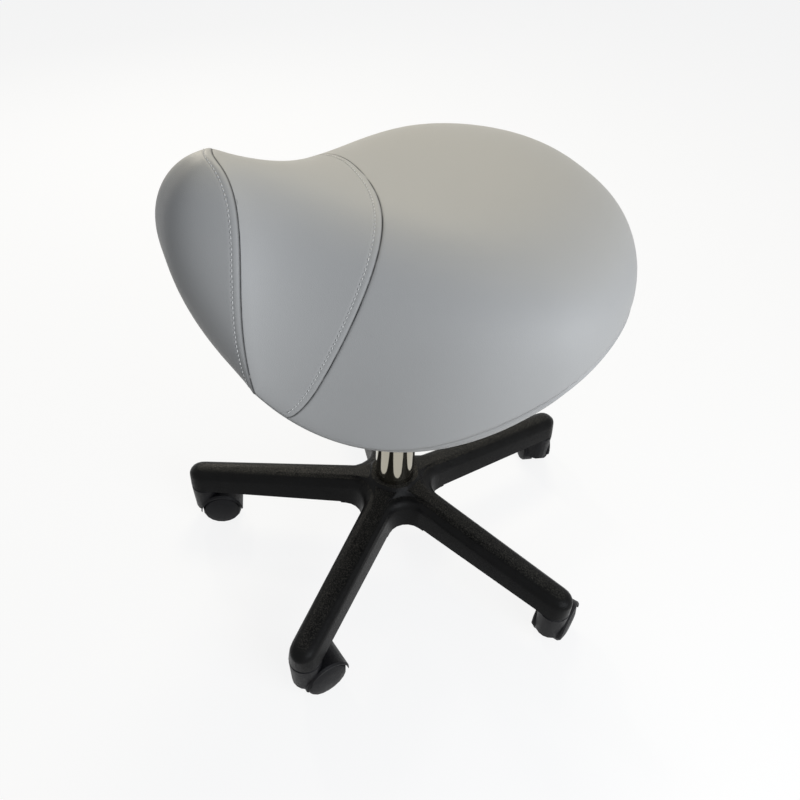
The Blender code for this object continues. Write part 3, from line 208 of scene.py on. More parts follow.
def build_painted_highlight():
    """A mask for a painted highlight: 1 on a noise's tips where the surface faces up, 0 on walls and in
    between.
    """
    inputs = [("Vector", VECTOR), ("Normal", VECTOR), ("Specks", FLOAT)]
    group, given, wanted = new_group("painted_highlight", inputs, [("Mask", FLOAT)])
    way = add(group, "ShaderNodeSeparateXYZ", {0: given["Normal"]})
    facing_up = add(group, "ShaderNodeMapRange",
                    {"Value": way.outputs["Z"], "From Min": FACING_FROM, "From Max": FACING_TO},
                    interpolation_type="SMOOTHSTEP")
    noise = add(group, "ShaderNodeTexNoise",
                {"Vector": given["Vector"], "Scale": given["Specks"], "Detail": 2.0})
    tips = add(group, "ShaderNodeMapRange",
               {"Value": noise.outputs["Fac"], "From Min": TIPS_FROM, "From Max": TIPS_TO})
    highlit = maths(group, "MULTIPLY", facing_up.outputs["Result"], tips.outputs["Result"])
    group.links.new(highlit, wanted["Mask"])
    return group


GRAIN = build_grain()
MOTTLE = build_mottle()
PAINTED_HIGHLIGHT_GROUP = build_painted_highlight()
print("groups", [group.name for group in bpy.data.node_groups])

# %% [markdown]
# ## Finishes
# Every finish starts from the same three things: where the point is on the object, how its colour drifts,
# and how its surface is bumped. Numbers that are the same all over go straight on the Principled shader.

# %% A finish from its values


def finish(name, color, drift, rough, patches, cells=0.0, depth=0.0, metallic=0.0, shine=0.5, paint=None):
    """A material with drifting colour and roughness. Where cells are given it has a grain, deep in metres.

    Paint, if given, takes the tree, the place and the drifting colour, and gives back the colour to use."""
    material = bpy.data.materials.new(name)
    material.use_nodes = True
    tree = material.node_tree
    shader = tree.nodes["Principled BSDF"]
    place = add(tree, "ShaderNodeTexCoord").outputs["Object"]
    dark = tuple(channel * (1 - drift) for channel in color)
    light = tuple(channel * (1 + drift) for channel in color)
    mottle = add(tree, "ShaderNodeGroup", node_tree=MOTTLE)
    tree.links.new(place, mottle.inputs["Vector"])
    for key, value in (("Patches", patches), ("Color A", (*dark, 1)), ("Color B", (*light, 1)),
                       ("Roughness A", rough[0]), ("Roughness B", rough[1])):
        mottle.inputs[key].default_value = value
    tone = mottle.outputs["Color"]
    tree.links.new(paint(tree, place, tone) if paint else tone, shader.inputs["Base Color"])
    tree.links.new(mottle.outputs["Roughness"], shader.inputs["Roughness"])
    if cells:
        grain = add(tree, "ShaderNodeGroup", node_tree=GRAIN)
        tree.links.new(place, grain.inputs["Vector"])
        grain.inputs["Cells"].default_value = cells
        bump = add(tree, "ShaderNodeBump",
                   {"Height": grain.outputs["Height"], "Strength": 1.0, "Distance": depth})
        tree.links.new(bump.outputs["Normal"], shader.inputs["Normal"])
    shader.inputs["Metallic"].default_value = metallic
    shader.inputs["Specular IOR Level"].default_value = shine
    return material


# %% Two ways to paint light over a colour: a painted highlight and a painted shade
# A light colour for a painted highlight on up-facing tops, and the size of its specks.
PAINTED_HIGHLIGHT_COLOR = (0.040, 0.038, 0.033, 1)
PAINTED_HIGHLIGHT_SPECKS = 750.0
# A dark colour for the painted shade along the seams.
PAINTED_SEAM_SHADE_COLOR = (0.05, 0.05, 0.05, 1)


def painted(tree, mask, tone, color):
    """The colour with another laid over it by a mask."""
    mixed = add(tree, "ShaderNodeMix", {"Factor": mask, "A": tone, "B": color}, data_type="RGBA")
    return mixed.outputs["Result"]


def with_painted_highlight(tree, place, tone):
    """The colour, with a painted highlight in lighter specks where the surface faces up."""
    normal = add(tree, "ShaderNodeNewGeometry").outputs["Normal"]
    specks = add(tree, "ShaderNodeGroup", node_tree=PAINTED_HIGHLIGHT_GROUP)
    tree.links.new(place, specks.inputs["Vector"])
    tree.links.new(normal, specks.inputs["Normal"])
    specks.inputs["Specks"].default_value = PAINTED_HIGHLIGHT_SPECKS
    return painted(tree, specks.outputs["Mask"], tone, PAINTED_HIGHLIGHT_COLOR)


def with_painted_seam_shade(tree, place, tone):
    """The colour, darkened by a painted shade where the piece's own attribute marks a seam."""
    seam_shade = add(tree, "ShaderNodeAttribute", attribute_name="seam_shade").outputs["Fac"]
    return painted(tree, seam_shade, tone, PAINTED_SEAM_SHADE_COLOR)


# %% The stool's finishes
# The values are the colour, its drift, the roughness from and to, patches and grain cells per metre, and the
# grain's depth in metres.
# The vinyl's colour has a painted shade along its seams.
VINYL = finish("seat_vinyl", (0.44, 0.435, 0.42), 0.012, (0.48, 0.55), 14.0, 950.0, 0.00004,
               shine=0.3, paint=with_painted_seam_shade)
FINISHES = {
    "seat_vinyl": VINYL,
    "foam": finish("moulded_foam", (0.75, 0.70, 0.52), 0.05, (0.90, 0.98), 60.0, 700.0, 0.0004),
    "shell_plastic": finish("shell_plastic", (0.045, 0.045, 0.047), 0.12, (0.5, 0.65), 40.0, 420.0, 0.0002),
    "dust_cloth": finish("dust_cloth", (0.022, 0.022, 0.024), 0.25, (0.9, 1.0), 220.0, 1300.0, 0.0003),
    "chrome": finish("polished_chrome", (0.42, 0.395, 0.33), 0.01, (0.035, 0.09), 35.0, metallic=1.0),
    # The base's colour has a painted highlight in specks on its up-facing tops.
    "black_nylon": finish("grained_nylon", (0.005, 0.005, 0.005), 0.2, (0.27, 0.34), 55.0, 520.0, 0.0001,
                          shine=0.08, paint=with_painted_highlight),
    "caster_nylon": finish("caster_nylon", (0.005, 0.005, 0.006), 0.2, (0.34, 0.46), 70.0, 1500.0, 0.00006,
                           shine=0.11),
    "wheel_nylon": finish("wheel_nylon", (0.008, 0.008, 0.009), 0.2, (0.42, 0.55), 70.0, 1700.0, 0.00006,
                          shine=0.12),
    "bush_plastic": finish("bush_plastic", (0.03, 0.03, 0.03), 0.15, (0.4, 0.5), 60.0, 900.0, 0.00005),
    "rubber": finish("buffer_rubber", (0.02, 0.02, 0.02), 0.2, (0.8, 0.9), 80.0, 800.0, 0.0001),
    "black_steel": finish("powder_coat", (0.025, 0.025, 0.026), 0.15, (0.4, 0.52), 60.0, 1100.0, 0.00008,
                          metallic=0.3),
    "bright_steel": finish("zinc_plate", (0.52, 0.52, 0.53), 0.08, (0.25, 0.38), 90.0, 500.0, 0.00003,
                           metallic=1.0),
}
THREAD = finish("sewing_thread", (0.80, 0.79, 0.76), 0.05, (0.6, 0.75), 400.0, 2600.0, 0.00008)
print("finishes", sorted(FINISHES))

# %% [markdown]
# ## Finishes on the solids
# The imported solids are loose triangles. A Weld modifier joins them and Edge Split keeps only the real edges
# sharp, so that round parts shade round. Neither touches the solid's own vertices.

# %% Dress the solids
SHARP = math.radians(32)
SAME_POINT = 0.00001


def shade_smooth(mesh):
    """Smooth shading on every face."""
    mesh.polygons.foreach_set("use_smooth", np.ones(len(mesh.polygons), bool))


def dress(node, material):
    """A solid with its finish and smooth shading between its sharp edges."""
    node.data.materials.clear()
    node.data.materials.append(material)
    shade_smooth(node.data)
    node.data.polygons.foreach_set("material_index", np.zeros(len(node.data.polygons), np.int32))
    weld = node.modifiers.new("join_triangles", "WELD")
    weld.merge_threshold = SAME_POINT
    split = node.modifiers.new("sharp_edges", "EDGE_SPLIT")
    split.split_angle = SHARP


for subpart in frame["record"]["subparts"]:
    dress(frame["nodes"][subpart["node"]], FINISHES[subpart["material_slot"]])
print("dressed", len(frame["nodes"]), "solids")

# %% [markdown]
# ## The saddle as a surface
# The seat is one smooth surface of two parameters: a place y from the pommel at the front to the rear end,
# and an angle from the right rim over the crown to the left rim. Five stations along y carry the half
# width, the crown's and the rim's height and two fullness powers, and a curve through the five joins them.
# Behind the widest station the outline closes as half an ellipse.

# %% Seat stations
SEAT_FRONT = 0.190
SEAT_REAR = 0.228
SEAT_WIDEST_AT = 0.050
HALF_WIDTHS = (0.106, 0.152, 0.198, 0.208, 0.214)
CROWN_RISES = (0.173, 0.142, 0.124, 0.122, 0.117)
RIM_RISES = (-0.004, -0.071, -0.028, 0.027, 0.015)
FLANK_FULLNESS = (0.93, 1.00, 0.60, 0.72, 0.76)
CROWN_FULLNESS = (1.18, 0.75, 0.61, 0.67, 0.67)
POMMEL_RAKE = 0.0085
POMMEL_RAKE_FADE = 0.12
FRONT_BULGE = 0.051
BULGE_ACROSS = 3.4
BULGE_LIFT = 1.48
BULGE_FULLNESS = 0.43
SEAM_AT_CROWN = -0.0455
SEAM_AT_RIM = -0.165
SEAM_BOW = 1.65
REAR_ROUND, REAR_ROOT = 5, 3
NEAR_ZERO = 1e-6
CLEARANCE = 0.0003
BOSS_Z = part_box("seat_plate")[1][2] + CLEARANCE
STATIONS = np.linspace(-SEAT_FRONT, SEAT_REAR, len(HALF_WIDTHS))

# %% The seat's surface


def along_seat(values, y):
    """The quartic through the five stations' values."""
    return np.polynomial.Polynomial.fit(STATIONS, values, len(values) - 1)(np.asarray(y, float))


def rear_share(y):
    """0 up to the widest station, then rising to 1 at the rear end."""
    return np.clip((np.asarray(y, float) - SEAT_WIDEST_AT) / (SEAT_REAR - SEAT_WIDEST_AT), 0, 1)


def half_width(y):
    """Half width of the rim: the stations' curve, times half an ellipse behind the widest station."""
    return along_seat(HALF_WIDTHS, y) * np.sqrt(1 - rear_share(y) ** 2)


def rim_z(y):
    """Height of the rim seam."""
    return BOSS_Z + along_seat(RIM_RISES, y)


def crown_rise(y):
    """The crown's height over the rim, times the root of 1 - share^5 that closes the rear end."""
    rise = along_seat(CROWN_RISES, y) - along_seat(RIM_RISES, y)
    return rise * (1 - rear_share(y) ** REAR_ROUND) ** (1 / REAR_ROOT)


def skin(y, angle):
    """x = width * sin^flank, z = rim + rise * cos^crown, with the pommel's top leaning back."""
    y, angle = np.broadcast_arrays(np.asarray(y, float), np.asarray(angle, float))
    across = np.abs(np.sin(angle)) ** along_seat(FLANK_FULLNESS, y) * np.sign(angle)
    up = np.clip(np.cos(angle), 0, 1) ** along_seat(CROWN_FULLNESS, y)
    z = rim_z(y) + crown_rise(y) * up
    fade = np.clip(1 - (y + SEAT_FRONT) / POMMEL_RAKE_FADE, 0, 1) ** 2
    height = np.clip((z - rim_z(-SEAT_FRONT)) / crown_rise(-SEAT_FRONT), 0, None)
    return np.stack([half_width(y) * across, y + POMMEL_RAKE * fade * height, z], -1) + COLUMN


def seam_y(angle):
    """The cross seam: back at the crown, bowing forward to the rim."""
    share = np.abs(angle) / (math.pi / 2)
    return SEAM_AT_CROWN + (SEAM_AT_RIM - SEAM_AT_CROWN) * share**SEAM_BOW


# %% Rows and columns that crowd where the seams are
CROWDING = 0.75


def crowded(count):
    """Values from 0 to 1 that crowd at both ends: a share of (1 - cos) / 2 and the rest even."""
    even = np.linspace(0, 1, count)
    return CROWDING * (1 - np.cos(math.pi * even)) / 2 + (1 - CROWDING) * even


print("crown", round(float(BOSS_Z + along_seat(CROWN_RISES, -SEAT_FRONT)), 3), "m high at the pommel")

# %% [markdown]
# ## The front panel
# The pommel's front is closed by a panel that swells forward. Its outline is the seat's front arch, so the
# panel is a depth over that arch: most in the middle, nothing along the seam.

# %% The front panel's surface


def arch_share(x, z):
    """Height share of a point in the front arch, its angle there, and its share of the arch's half width."""
    height = np.clip((z - rim_z(-SEAT_FRONT)) / crown_rise(-SEAT_FRONT), 0, 1)
    angle = np.arccos(height ** (1 / CROWN_FULLNESS[0]))
    half = HALF_WIDTHS[0] * np.sin(angle) ** FLANK_FULLNESS[0]
    return height, angle, np.clip(np.abs(x) / np.maximum(half, NEAR_ZERO), 0, 1)


def front_panel(x, z):
    """Depth over the arch: bulge * (1 - across^power) * sin(pi * height^lift)^fullness, leaning back."""
    height, _, across = arch_share(x, z)
    wave = np.clip(np.sin(math.pi * height**BULGE_LIFT), 0, 1)
    swell = FRONT_BULGE * (1 - across**BULGE_ACROSS) * wave**BULGE_FULLNESS
    return np.stack([x, -SEAT_FRONT + POMMEL_RAKE * height - swell, z], -1) + COLUMN


def front_arch(angle):
    """The front edge as x and z: the seat's first section."""
    x = HALF_WIDTHS[0] * np.abs(np.sin(angle)) ** FLANK_FULLNESS[0] * np.sign(angle)
    z = rim_z(-SEAT_FRONT) + crown_rise(-SEAT_FRONT) * np.clip(np.cos(angle), 0, 1) ** CROWN_FULLNESS[0]
    return x, z


# %% [markdown]
# ## The front edge's bow
# Sewn over soft foam, the front edge doesn't stay flat: it leans back in its upper half and comes forward
# in its lower half. A bend of space does that to everything at once, so covers, pad, seams and stitches
# stay together.

# %% Bend the front edge
FRONT_BOW = 0.0058
FRONT_BOW_FADE = 0.055
CREST_ROUND = 0.15


def bowed(points):
    """y moves by bow * sin(4 * angle) * tanh(angle / round) * across^2 * exp(-(behind / fade)^2).

    Behind is the distance behind the edge, and the tanh keeps the crest where it is."""
    plan = points - COLUMN
    _, angle, across = arch_share(plan[..., 0], plan[..., 2])
    behind = np.clip(plan[..., 1] + SEAT_FRONT, 0, None)
    wave = np.sin(4 * angle) * np.tanh(angle / CREST_ROUND)
    move = FRONT_BOW * wave * across**2 * np.exp(-((behind / FRONT_BOW_FADE) ** 2))
    return points + move[..., None] * np.array([0, 1, 0])


# %% [markdown]
# ## Seam lines
# Four pieces of vinyl meet in three seams. Each seam is a line on the surface, and the distance from it
# later tells how deep the sewn edge sinks. The lines are sampled about a millimetre apart.

# %% Seam lines
SEAM_SAMPLES = 700
seam_angles = math.pi / 2 * np.linspace(-1, 1, SEAM_SAMPLES)
FRONT_SEAM = bowed(skin(np.full(SEAM_SAMPLES, -SEAT_FRONT), seam_angles))
CROSS_SEAM = bowed(skin(seam_y(seam_angles), seam_angles))
rim_y = -SEAT_FRONT + (SEAT_REAR + SEAT_FRONT) * np.sin(math.pi / 2 * np.linspace(0, 1, SEAM_SAMPLES))
RIM_SEAM = np.concatenate([skin(rim_y, math.pi / 2), skin(rim_y[::-1], -math.pi / 2)])


def distance_to(points, line):
    """Distance from each point to the nearest sample of a line."""
    flat = points.reshape(-1, 3)
    square = (flat**2).sum(1)[:, None] + (line**2).sum(1)[None, :] - 2 * flat @ line.T
    return np.sqrt(np.clip(square.min(1), 0, None)).reshape(points.shape[:-1])


def length_of(line):
    """Length along a line of points."""
    return float(np.linalg.norm(np.diff(line, axis=0), axis=1).sum())


print("seams", [round(length_of(line), 3) for line in (FRONT_SEAM, CROSS_SEAM, RIM_SEAM)], "m")

# %% [markdown]
# ## Foam that swells between the seams
# Under tight vinyl the foam pushes out between the seams and is held back along them. A cloth simulation
# shows how far: the foam's own solid is copied, remeshed to even squares, held along the seams and
# underneath, and blown up. The move of each point is capped and evened out along the mesh, because moulded
# foam is firm and takes no creases.

# %% Simulate the pad
PAD_VOXEL = 0.006
PAD_PRESSURE = 4.0
PAD_FRAMES = 20
PAD_CAP = 0.0028
EVEN_PASSES = 150
HELD_NEAR = 0.008


def points_of(mesh):
    """A mesh's vertices as an array."""
    values = np.empty(len(mesh.vertices) * 3, np.float32)
    mesh.vertices.foreach_get("co", values)
    return values.reshape(-1, 3).astype(float)


def set_points(mesh, points):
    """Moves a mesh's vertices to an array of places."""
    mesh.vertices.foreach_set("co", points.astype(np.float32).ravel())
    mesh.update()


def welded_copy(node, name):
    """A solid's copy with its loose triangles joined."""
    mesh = node.data.copy()
    mesh.name = name
    shape = bmesh.new()
    shape.from_mesh(mesh)
    bmesh.ops.remove_doubles(shape, verts=shape.verts, dist=SAME_POINT)
    shape.to_mesh(mesh)
    shape.free()
    return placed(name, mesh)


def bake(piece):
    """Replaces a piece's mesh by its shape under its modifiers."""
    graph = bpy.context.evaluated_depsgraph_get()
    mesh = bpy.data.meshes.new_from_object(piece.evaluated_get(graph))
    piece.modifiers.clear()
    piece.data = mesh


seat_pad = welded_copy(frame["nodes"]["seat_foam"], "seat_pad")
remesh = seat_pad.modifiers.new("even_squares", "REMESH")
remesh.mode = "VOXEL"
remesh.voxel_size = PAD_VOXEL
bake(seat_pad)
PAD_REST = bowed(points_of(seat_pad.data))
set_points(seat_pad.data, PAD_REST)
seam_gap = np.min([distance_to(PAD_REST, line) for line in (FRONT_SEAM, CROSS_SEAM, RIM_SEAM)], axis=0)
plan = PAD_REST - COLUMN
underneath = plan[:, 2] < rim_z(np.clip(plan[:, 1], -SEAT_FRONT, SEAT_REAR)) + PAD_VOXEL
sewn_down = (seam_gap < HELD_NEAR) | underneath
print("pad", len(PAD_REST), "points, held", int(sewn_down.sum()))

# %% Blow the pad up


def blow_up(piece, held):
    """The piece's points after a short cloth simulation under pressure, with the held points pinned."""
    group = piece.vertex_groups.new(name="sewn")
    group.add(np.flatnonzero(held).tolist(), 1.0, "REPLACE")
    cloth = piece.modifiers.new("swell", "CLOTH")
    cloth.settings.vertex_group_mass = "sewn"
    cloth.settings.use_pressure = True
    cloth.settings.uniform_pressure_force = PAD_PRESSURE
    cloth.settings.effector_weights.gravity = 0
    cloth.collision_settings.use_collision = False
    cloth.collision_settings.use_self_collision = False
    for number in range(1, PAD_FRAMES + 1):
        bpy.context.scene.frame_set(number)
    graph = bpy.context.evaluated_depsgraph_get()
    swollen = points_of(piece.evaluated_get(graph).data)
    piece.modifiers.clear()
    bpy.context.scene.frame_set(1)
    return swollen


def capped(moves, cap):
    """Moves of at most a cap's length."""
    size = np.linalg.norm(moves, axis=1, keepdims=True)
    return moves * np.minimum(1, cap / np.maximum(size, NEAR_ZERO))


def evened(moves, mesh, held):
    """Moves averaged with their neighbours' again and again, while the held points stay."""
    ends = np.empty(len(mesh.edges) * 2, np.int32)
    mesh.edges.foreach_get("vertices", ends)
    first, second = ends.reshape(-1, 2).T
    count = np.bincount(ends, minlength=len(moves))[:, None]
    for _ in range(EVEN_PASSES):
        near = np.stack([np.bincount(first, moves[second, k], len(moves)) for k in range(3)], -1)
        near += np.stack([np.bincount(second, moves[first, k], len(moves)) for k in range(3)], -1)
        moves = np.where(held[:, None], 0, (moves + near / count) / 2)
    return moves


PAD_MOVES = np.zeros_like(PAD_REST)
PAD_MOVES = capped(blow_up(seat_pad, sewn_down) - PAD_REST, PAD_CAP)
PAD_MOVES = evened(PAD_MOVES, seat_pad.data, sewn_down)
set_points(seat_pad.data, PAD_REST + PAD_MOVES)
shade_smooth(seat_pad.data)
seat_pad.data.materials.append(FINISHES["foam"])
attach(seat_pad, "seat")
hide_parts("seat_foam")
print("pad swells up to", round(float(np.linalg.norm(PAD_MOVES, axis=1).max()) * 1000, 2), "mm")

# %% [markdown]
# ## Sewn covers
# Each cover is its panel's part of the surface, moved out where the pad swelled and rolled in along its
# seams. The roll is a quarter circle: at the seam the vinyl dives straight in, which draws the thin dark
# line of a sewn joint, and a shade painted into the vinyl's colour darkens that line further. Where a row
# of stitches runs beside the seam, the thread pulls a shallow groove. A Solidify modifier gives the sheet
# its thickness.

# %% How a cover follows the pad and its seams
COVER = 0.0015
# The third value of each roll is how strong a shade is painted along that seam.
SOFT_ROLL = (0.011, 0.0024, 1.0)
EDGE_ROLL = (0.0045, 0.0022, 1.0)
TIGHT_ROLL = (0.0035, 0.0012, 1.0)
RIM_ROLL = (0.020, 0.0030, 0.0)
STITCH_INSET = 0.0066
GROOVE_DEPTH = 0.0004
GROOVE_WIDTH = 0.0010
SEAM_SHADE_WIDTH = 0.0008
NEIGHBOURS = 6
NEAREST = 0.002
TABLE_ROWS = 400
CORE_X, CORE_Y, CORE_LOW = 0.35, 0.72, 0.1
COVER_JOIN = 0.00002


def swell_at(points):
    """The pad's move at each point: a mean of the nearest pad points' moves, by 1 / (distance + nearest)."""
    flat = points.reshape(-1, 3)
    moves = np.empty_like(flat)
    pad_square = (PAD_REST**2).sum(1)[None, :]
    for rows in np.array_split(np.arange(len(flat)), max(1, len(flat) // TABLE_ROWS)):
        square = (flat[rows] ** 2).sum(1)[:, None] + pad_square - 2 * flat[rows] @ PAD_REST.T
        near = np.argpartition(square, NEIGHBOURS, axis=1)[:, :NEIGHBOURS]
        weight = 1 / (np.sqrt(np.clip(np.take_along_axis(square, near, 1), 0, None)) + NEAREST)
        weight /= weight.sum(1, keepdims=True)
        moves[rows] = (PAD_MOVES[near] * weight[..., None]).sum(1)
    return moves.reshape(points.shape)


def inwards(points):
    """Unit vectors into the seat, towards a small core inside it."""
    plan = points - COLUMN
    middle = (rim_z(plan[..., 1]) + BOSS_Z + along_seat(CROWN_RISES, plan[..., 1])) / 2
    height = middle * (1 - CORE_LOW) + BOSS_Z * CORE_LOW
    core = np.stack([plan[..., 0] * CORE_X, plan[..., 1] * CORE_Y, height], -1)
    way = core - plan
    return way / np.linalg.norm(way, axis=-1, keepdims=True)


def rolled(points, seams, stitched=None):
    """Points moved with the pad, sunk by a quarter circle near each seam and by a groove under stitches.

    A seam's roll has a reach, a depth and how strong a shade is painted along it. The second result is that
    painted shade, which fades as exp(-(distance to the seam / width)^2)."""
    sink = np.zeros(points.shape[:-1])
    seam_shade = np.zeros(points.shape[:-1])
    for line, (reach, depth, dark) in seams:
        gap = distance_to(points, line)
        share = 1 - np.clip(gap / reach, 0, 1)
        sink = np.maximum(sink, depth * (1 - np.sqrt(1 - share**2)))
        # A painted shade darkens the vinyl nearest each seam.
        seam_shade = np.maximum(seam_shade, dark * np.exp(-((gap / SEAM_SHADE_WIDTH) ** 2)))
    if stitched is not None:
        aside = (distance_to(points, stitched) - STITCH_INSET) / GROOVE_WIDTH
        sink = sink + GROOVE_DEPTH * np.exp(-(aside**2))
    return points + swell_at(points) + inwards(points) * sink[..., None], seam_shade


# %% A grid as a piece


def grid_faces(rows, columns, wrap=False):
    """The squares of a grid of points, as point numbers. With wrap the last column meets the first."""
    number = np.arange(rows * columns).reshape(rows, columns)
    after = np.roll(number, -1, axis=1)
    last = columns if wrap else columns - 1
    corners = [number[:-1, :last], after[:-1, :last], after[1:, :last], number[1:, :last]]
    return np.stack(corners, -1).reshape(-1, 4)


def sheet_piece(name, points, outward, material, thickness, wrap=False, seam_shade=None):
    """A grid of points as a smooth sheet with a thickness inwards. Outward is a rough direction."""
    faces = grid_faces(*points.shape[:2], wrap)
    flat, rough = points.reshape(-1, 3), np.broadcast_to(outward, points.shape).reshape(-1, 3)
    crossed = np.cross(flat[faces[:, 2]] - flat[faces[:, 0]], flat[faces[:, 3]] - flat[faces[:, 1]])
    if (crossed * rough[faces[:, 0]]).sum() < 0:
        faces = faces[:, ::-1]
    mesh = bpy.data.meshes.new(name)
    mesh.from_pydata(flat, [], faces.tolist())
    # The painted shade along the seams rides on the points, for the vinyl's colour to read.
    if seam_shade is not None:
        values = mesh.attributes.new("seam_shade", "FLOAT", "POINT").data
        values.foreach_set("value", seam_shade.astype(np.float32).ravel())
    shape = bmesh.new()
    shape.from_mesh(mesh)
    bmesh.ops.remove_doubles(shape, verts=shape.verts, dist=COVER_JOIN)
    bmesh.ops.dissolve_degenerate(shape, edges=shape.edges, dist=SAME_POINT)
    shape.to_mesh(mesh)
    shape.free()
    shade_smooth(mesh)
    mesh.materials.append(material)
    piece = placed(name, mesh)
    wall = piece.modifiers.new("thickness", "SOLIDIFY")
    wall.thickness = thickness
    wall.offset = -1
    return piece


def upholstered(piece, node):
    """A cover that rides on the seat and stands for its solid."""
    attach(piece, "seat")
    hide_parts(node)


# %% The three panels' grids
SKIN_COLUMNS = 161
POMMEL_ROWS = 101
REAR_ROWS = 131
FRONT_ROWS = 101
SEAM_CROWDING = 1.6
REAR_CROWDING = 3.0
angles = math.pi * (crowded(SKIN_COLUMNS) - 0.5)[None, :]
pommel_rows = crowded(POMMEL_ROWS)[:, None]
rear_rows = 1 - (1 - np.linspace(0, 1, REAR_ROWS)[:, None] ** SEAM_CROWDING) ** REAR_CROWDING
pommel_y = -SEAT_FRONT + (seam_y(angles) + SEAT_FRONT) * pommel_rows
rear_y = seam_y(angles) + (SEAT_REAR - seam_y(angles)) * rear_rows
pommel_seams = [(FRONT_SEAM, SOFT_ROLL), (CROSS_SEAM, TIGHT_ROLL), (RIM_SEAM, RIM_ROLL)]
rear_seams = [(CROSS_SEAM, TIGHT_ROLL), (RIM_SEAM, RIM_ROLL)]
pommel_grid, pommel_seam_shade = rolled(bowed(skin(pommel_y, angles)), pommel_seams, CROSS_SEAM)
rear_grid, rear_seam_shade = rolled(bowed(skin(rear_y, angles)), rear_seams)

arch_x, arch_z = front_arch(math.pi / 2 * (1 - crowded(FRONT_ROWS)))
front_u = 2 * crowded(SKIN_COLUMNS) - 1
front_grid = front_panel(arch_x[:, None] * front_u[None, :], np.repeat(arch_z[:, None], SKIN_COLUMNS, 1))
front_grid, front_seam_shade = rolled(bowed(front_grid), [(FRONT_SEAM, EDGE_ROLL)], FRONT_SEAM)
print("grids", pommel_grid.shape[:2], rear_grid.shape[:2], front_grid.shape[:2])

# %% The three panels as pieces


def cover_piece(name, grid, seam_shade):
    """A cover of vinyl over the seat, with its thickness inwards and the painted shade of its seams on its
    points.
    """
    return sheet_piece(name, grid, -inwards(grid), VINYL, COVER, seam_shade=seam_shade)


pommel_cover = cover_piece("pommel_cover", pommel_grid, pommel_seam_shade)
rear_cover = cover_piece("rear_cover", rear_grid, rear_seam_shade)
front_cover = cover_piece("front_cover", front_grid, front_seam_shade)
upholstered(pommel_cover, "pommel_panel")
upholstered(rear_cover, "rear_seat_panel")
upholstered(front_cover, "front_panel")
print("covers", [len(piece.data.polygons) for piece in (pommel_cover, rear_cover, front_cover)], "faces")

# %% [markdown]
# ## The band under the rim
# Below the rim seam a narrow band turns the vinyl under the seat. Its section is a curve from the seam,
# round the lower edge, to the hem underneath, and the section is carried along the rim. The curve is a
# conic: three points, with a weight that pulls it close to the middle one. Its top edge is folded over,
# which makes a thin bead that catches the light under the cover's dark roll. Towards the front the bead
# fades and the band lies flush under the cover.

# %% The underside's form
BAND_DROP = 0.020
BAND_IN = 0.009
BAND_FADE = 0.12
BAND_TUCK = 0.015
TUCK_FADE = 0.22
HEM_WIDTH = 0.014
ARCH_SHARE = 0.55
ARCH_FADE = 0.10
LEAST_HALF = 0.002
BAND_STARTS = 0.0006
BAND_ROWS = 320
FIRST_Y = -SEAT_FRONT + BAND_STARTS


def front_fade(y, length):
    """0 at the front edge, rising smoothly to 1 a length behind it: 3 s^2 - 2 s^3."""
    share = np.clip((np.asarray(y, float) - FIRST_Y) / length, 0, 1)
    return share * share * (3 - 2 * share)


def band_draw(y):
    """How far the band slants in: more under the seat's front half."""
    return front_fade(y, BAND_FADE) * (BAND_IN + BAND_TUCK * (1 - front_fade(y, TUCK_FADE)))


def under_z(x, y):
    """Height of the underside at a station of the rim: the band's foot, arched up towards the middle."""
    foot = rim_z(y) - BAND_DROP * front_fade(y, BAND_FADE)
    rise = along_seat(CROWN_RISES, y) - along_seat(RIM_RISES, y)
    arch = ARCH_SHARE * rise * front_fade(y, ARCH_FADE) * (1 - rear_share(y) ** 2)
    half = np.maximum(half_width(y) - band_draw(y), LEAST_HALF)
    return foot + arch * (1 - np.clip(x / half, -1, 1) ** 2)


def rim_inset(y, inset):
    """The left rim in plan, moved in by an inset along its normal."""
    y = np.asarray(y, float)
    line = np.stack([half_width(y), y], -1)
    slope = np.gradient(line, axis=0)
    normal = np.stack([slope[:, 1], -slope[:, 0] * front_fade(y, ARCH_FADE)], -1)
    normal[-1] = (0, 1)
    return line - normal / np.linalg.norm(normal, axis=1, keepdims=True) * np.asarray(inset)[..., None]


def rows_from(first):
    """Places along the seat from the first to the rear end, crowding there as a quarter sine."""
    return first + (SEAT_REAR - first) * np.sin(math.pi / 2 * np.linspace(0, 1, BAND_ROWS))


print("underside", round(float(under_z(0.0, 0.0)), 3), "m high in its middle")

# %% Lines along the band
BEAD_FROM = -0.06
BEAD_FADE = 0.10
BEAD_INSET = 0.0008
band_y = rows_from(FIRST_Y)
fade = front_fade(band_y, BAND_FADE)
bead = front_fade(band_y - BEAD_FROM + FIRST_Y, BEAD_FADE)[:, None]
tuck = BEAD_INSET + (RIM_ROLL[1] - BEAD_INSET) * (1 - bead[:, 0])
seam_line = np.column_stack([rim_inset(band_y, tuck), rim_z(band_y)])
foot_plan = rim_inset(band_y, band_draw(band_y) + tuck)
foot_line = np.column_stack([foot_plan, rim_z(band_y) - BAND_DROP * fade])
hem_plan = rim_inset(band_y, band_draw(band_y) + tuck + HEM_WIDTH)
hem_plan[:, 0] = np.maximum(hem_plan[:, 0], 0)
hem_half = half_width(band_y) - band_draw(band_y) - HEM_WIDTH
hem_line = np.column_stack([hem_plan, under_z(hem_half, band_y)])


def under_station(y):
    """The station of the rim whose normal, drawn in to the hem, ends at this place along the seat."""
    return np.interp(y, np.maximum.accumulate(hem_plan[:, 1]), band_y)


print("hem", round(2 * float(hem_plan[:, 0].max()), 3), "m across")

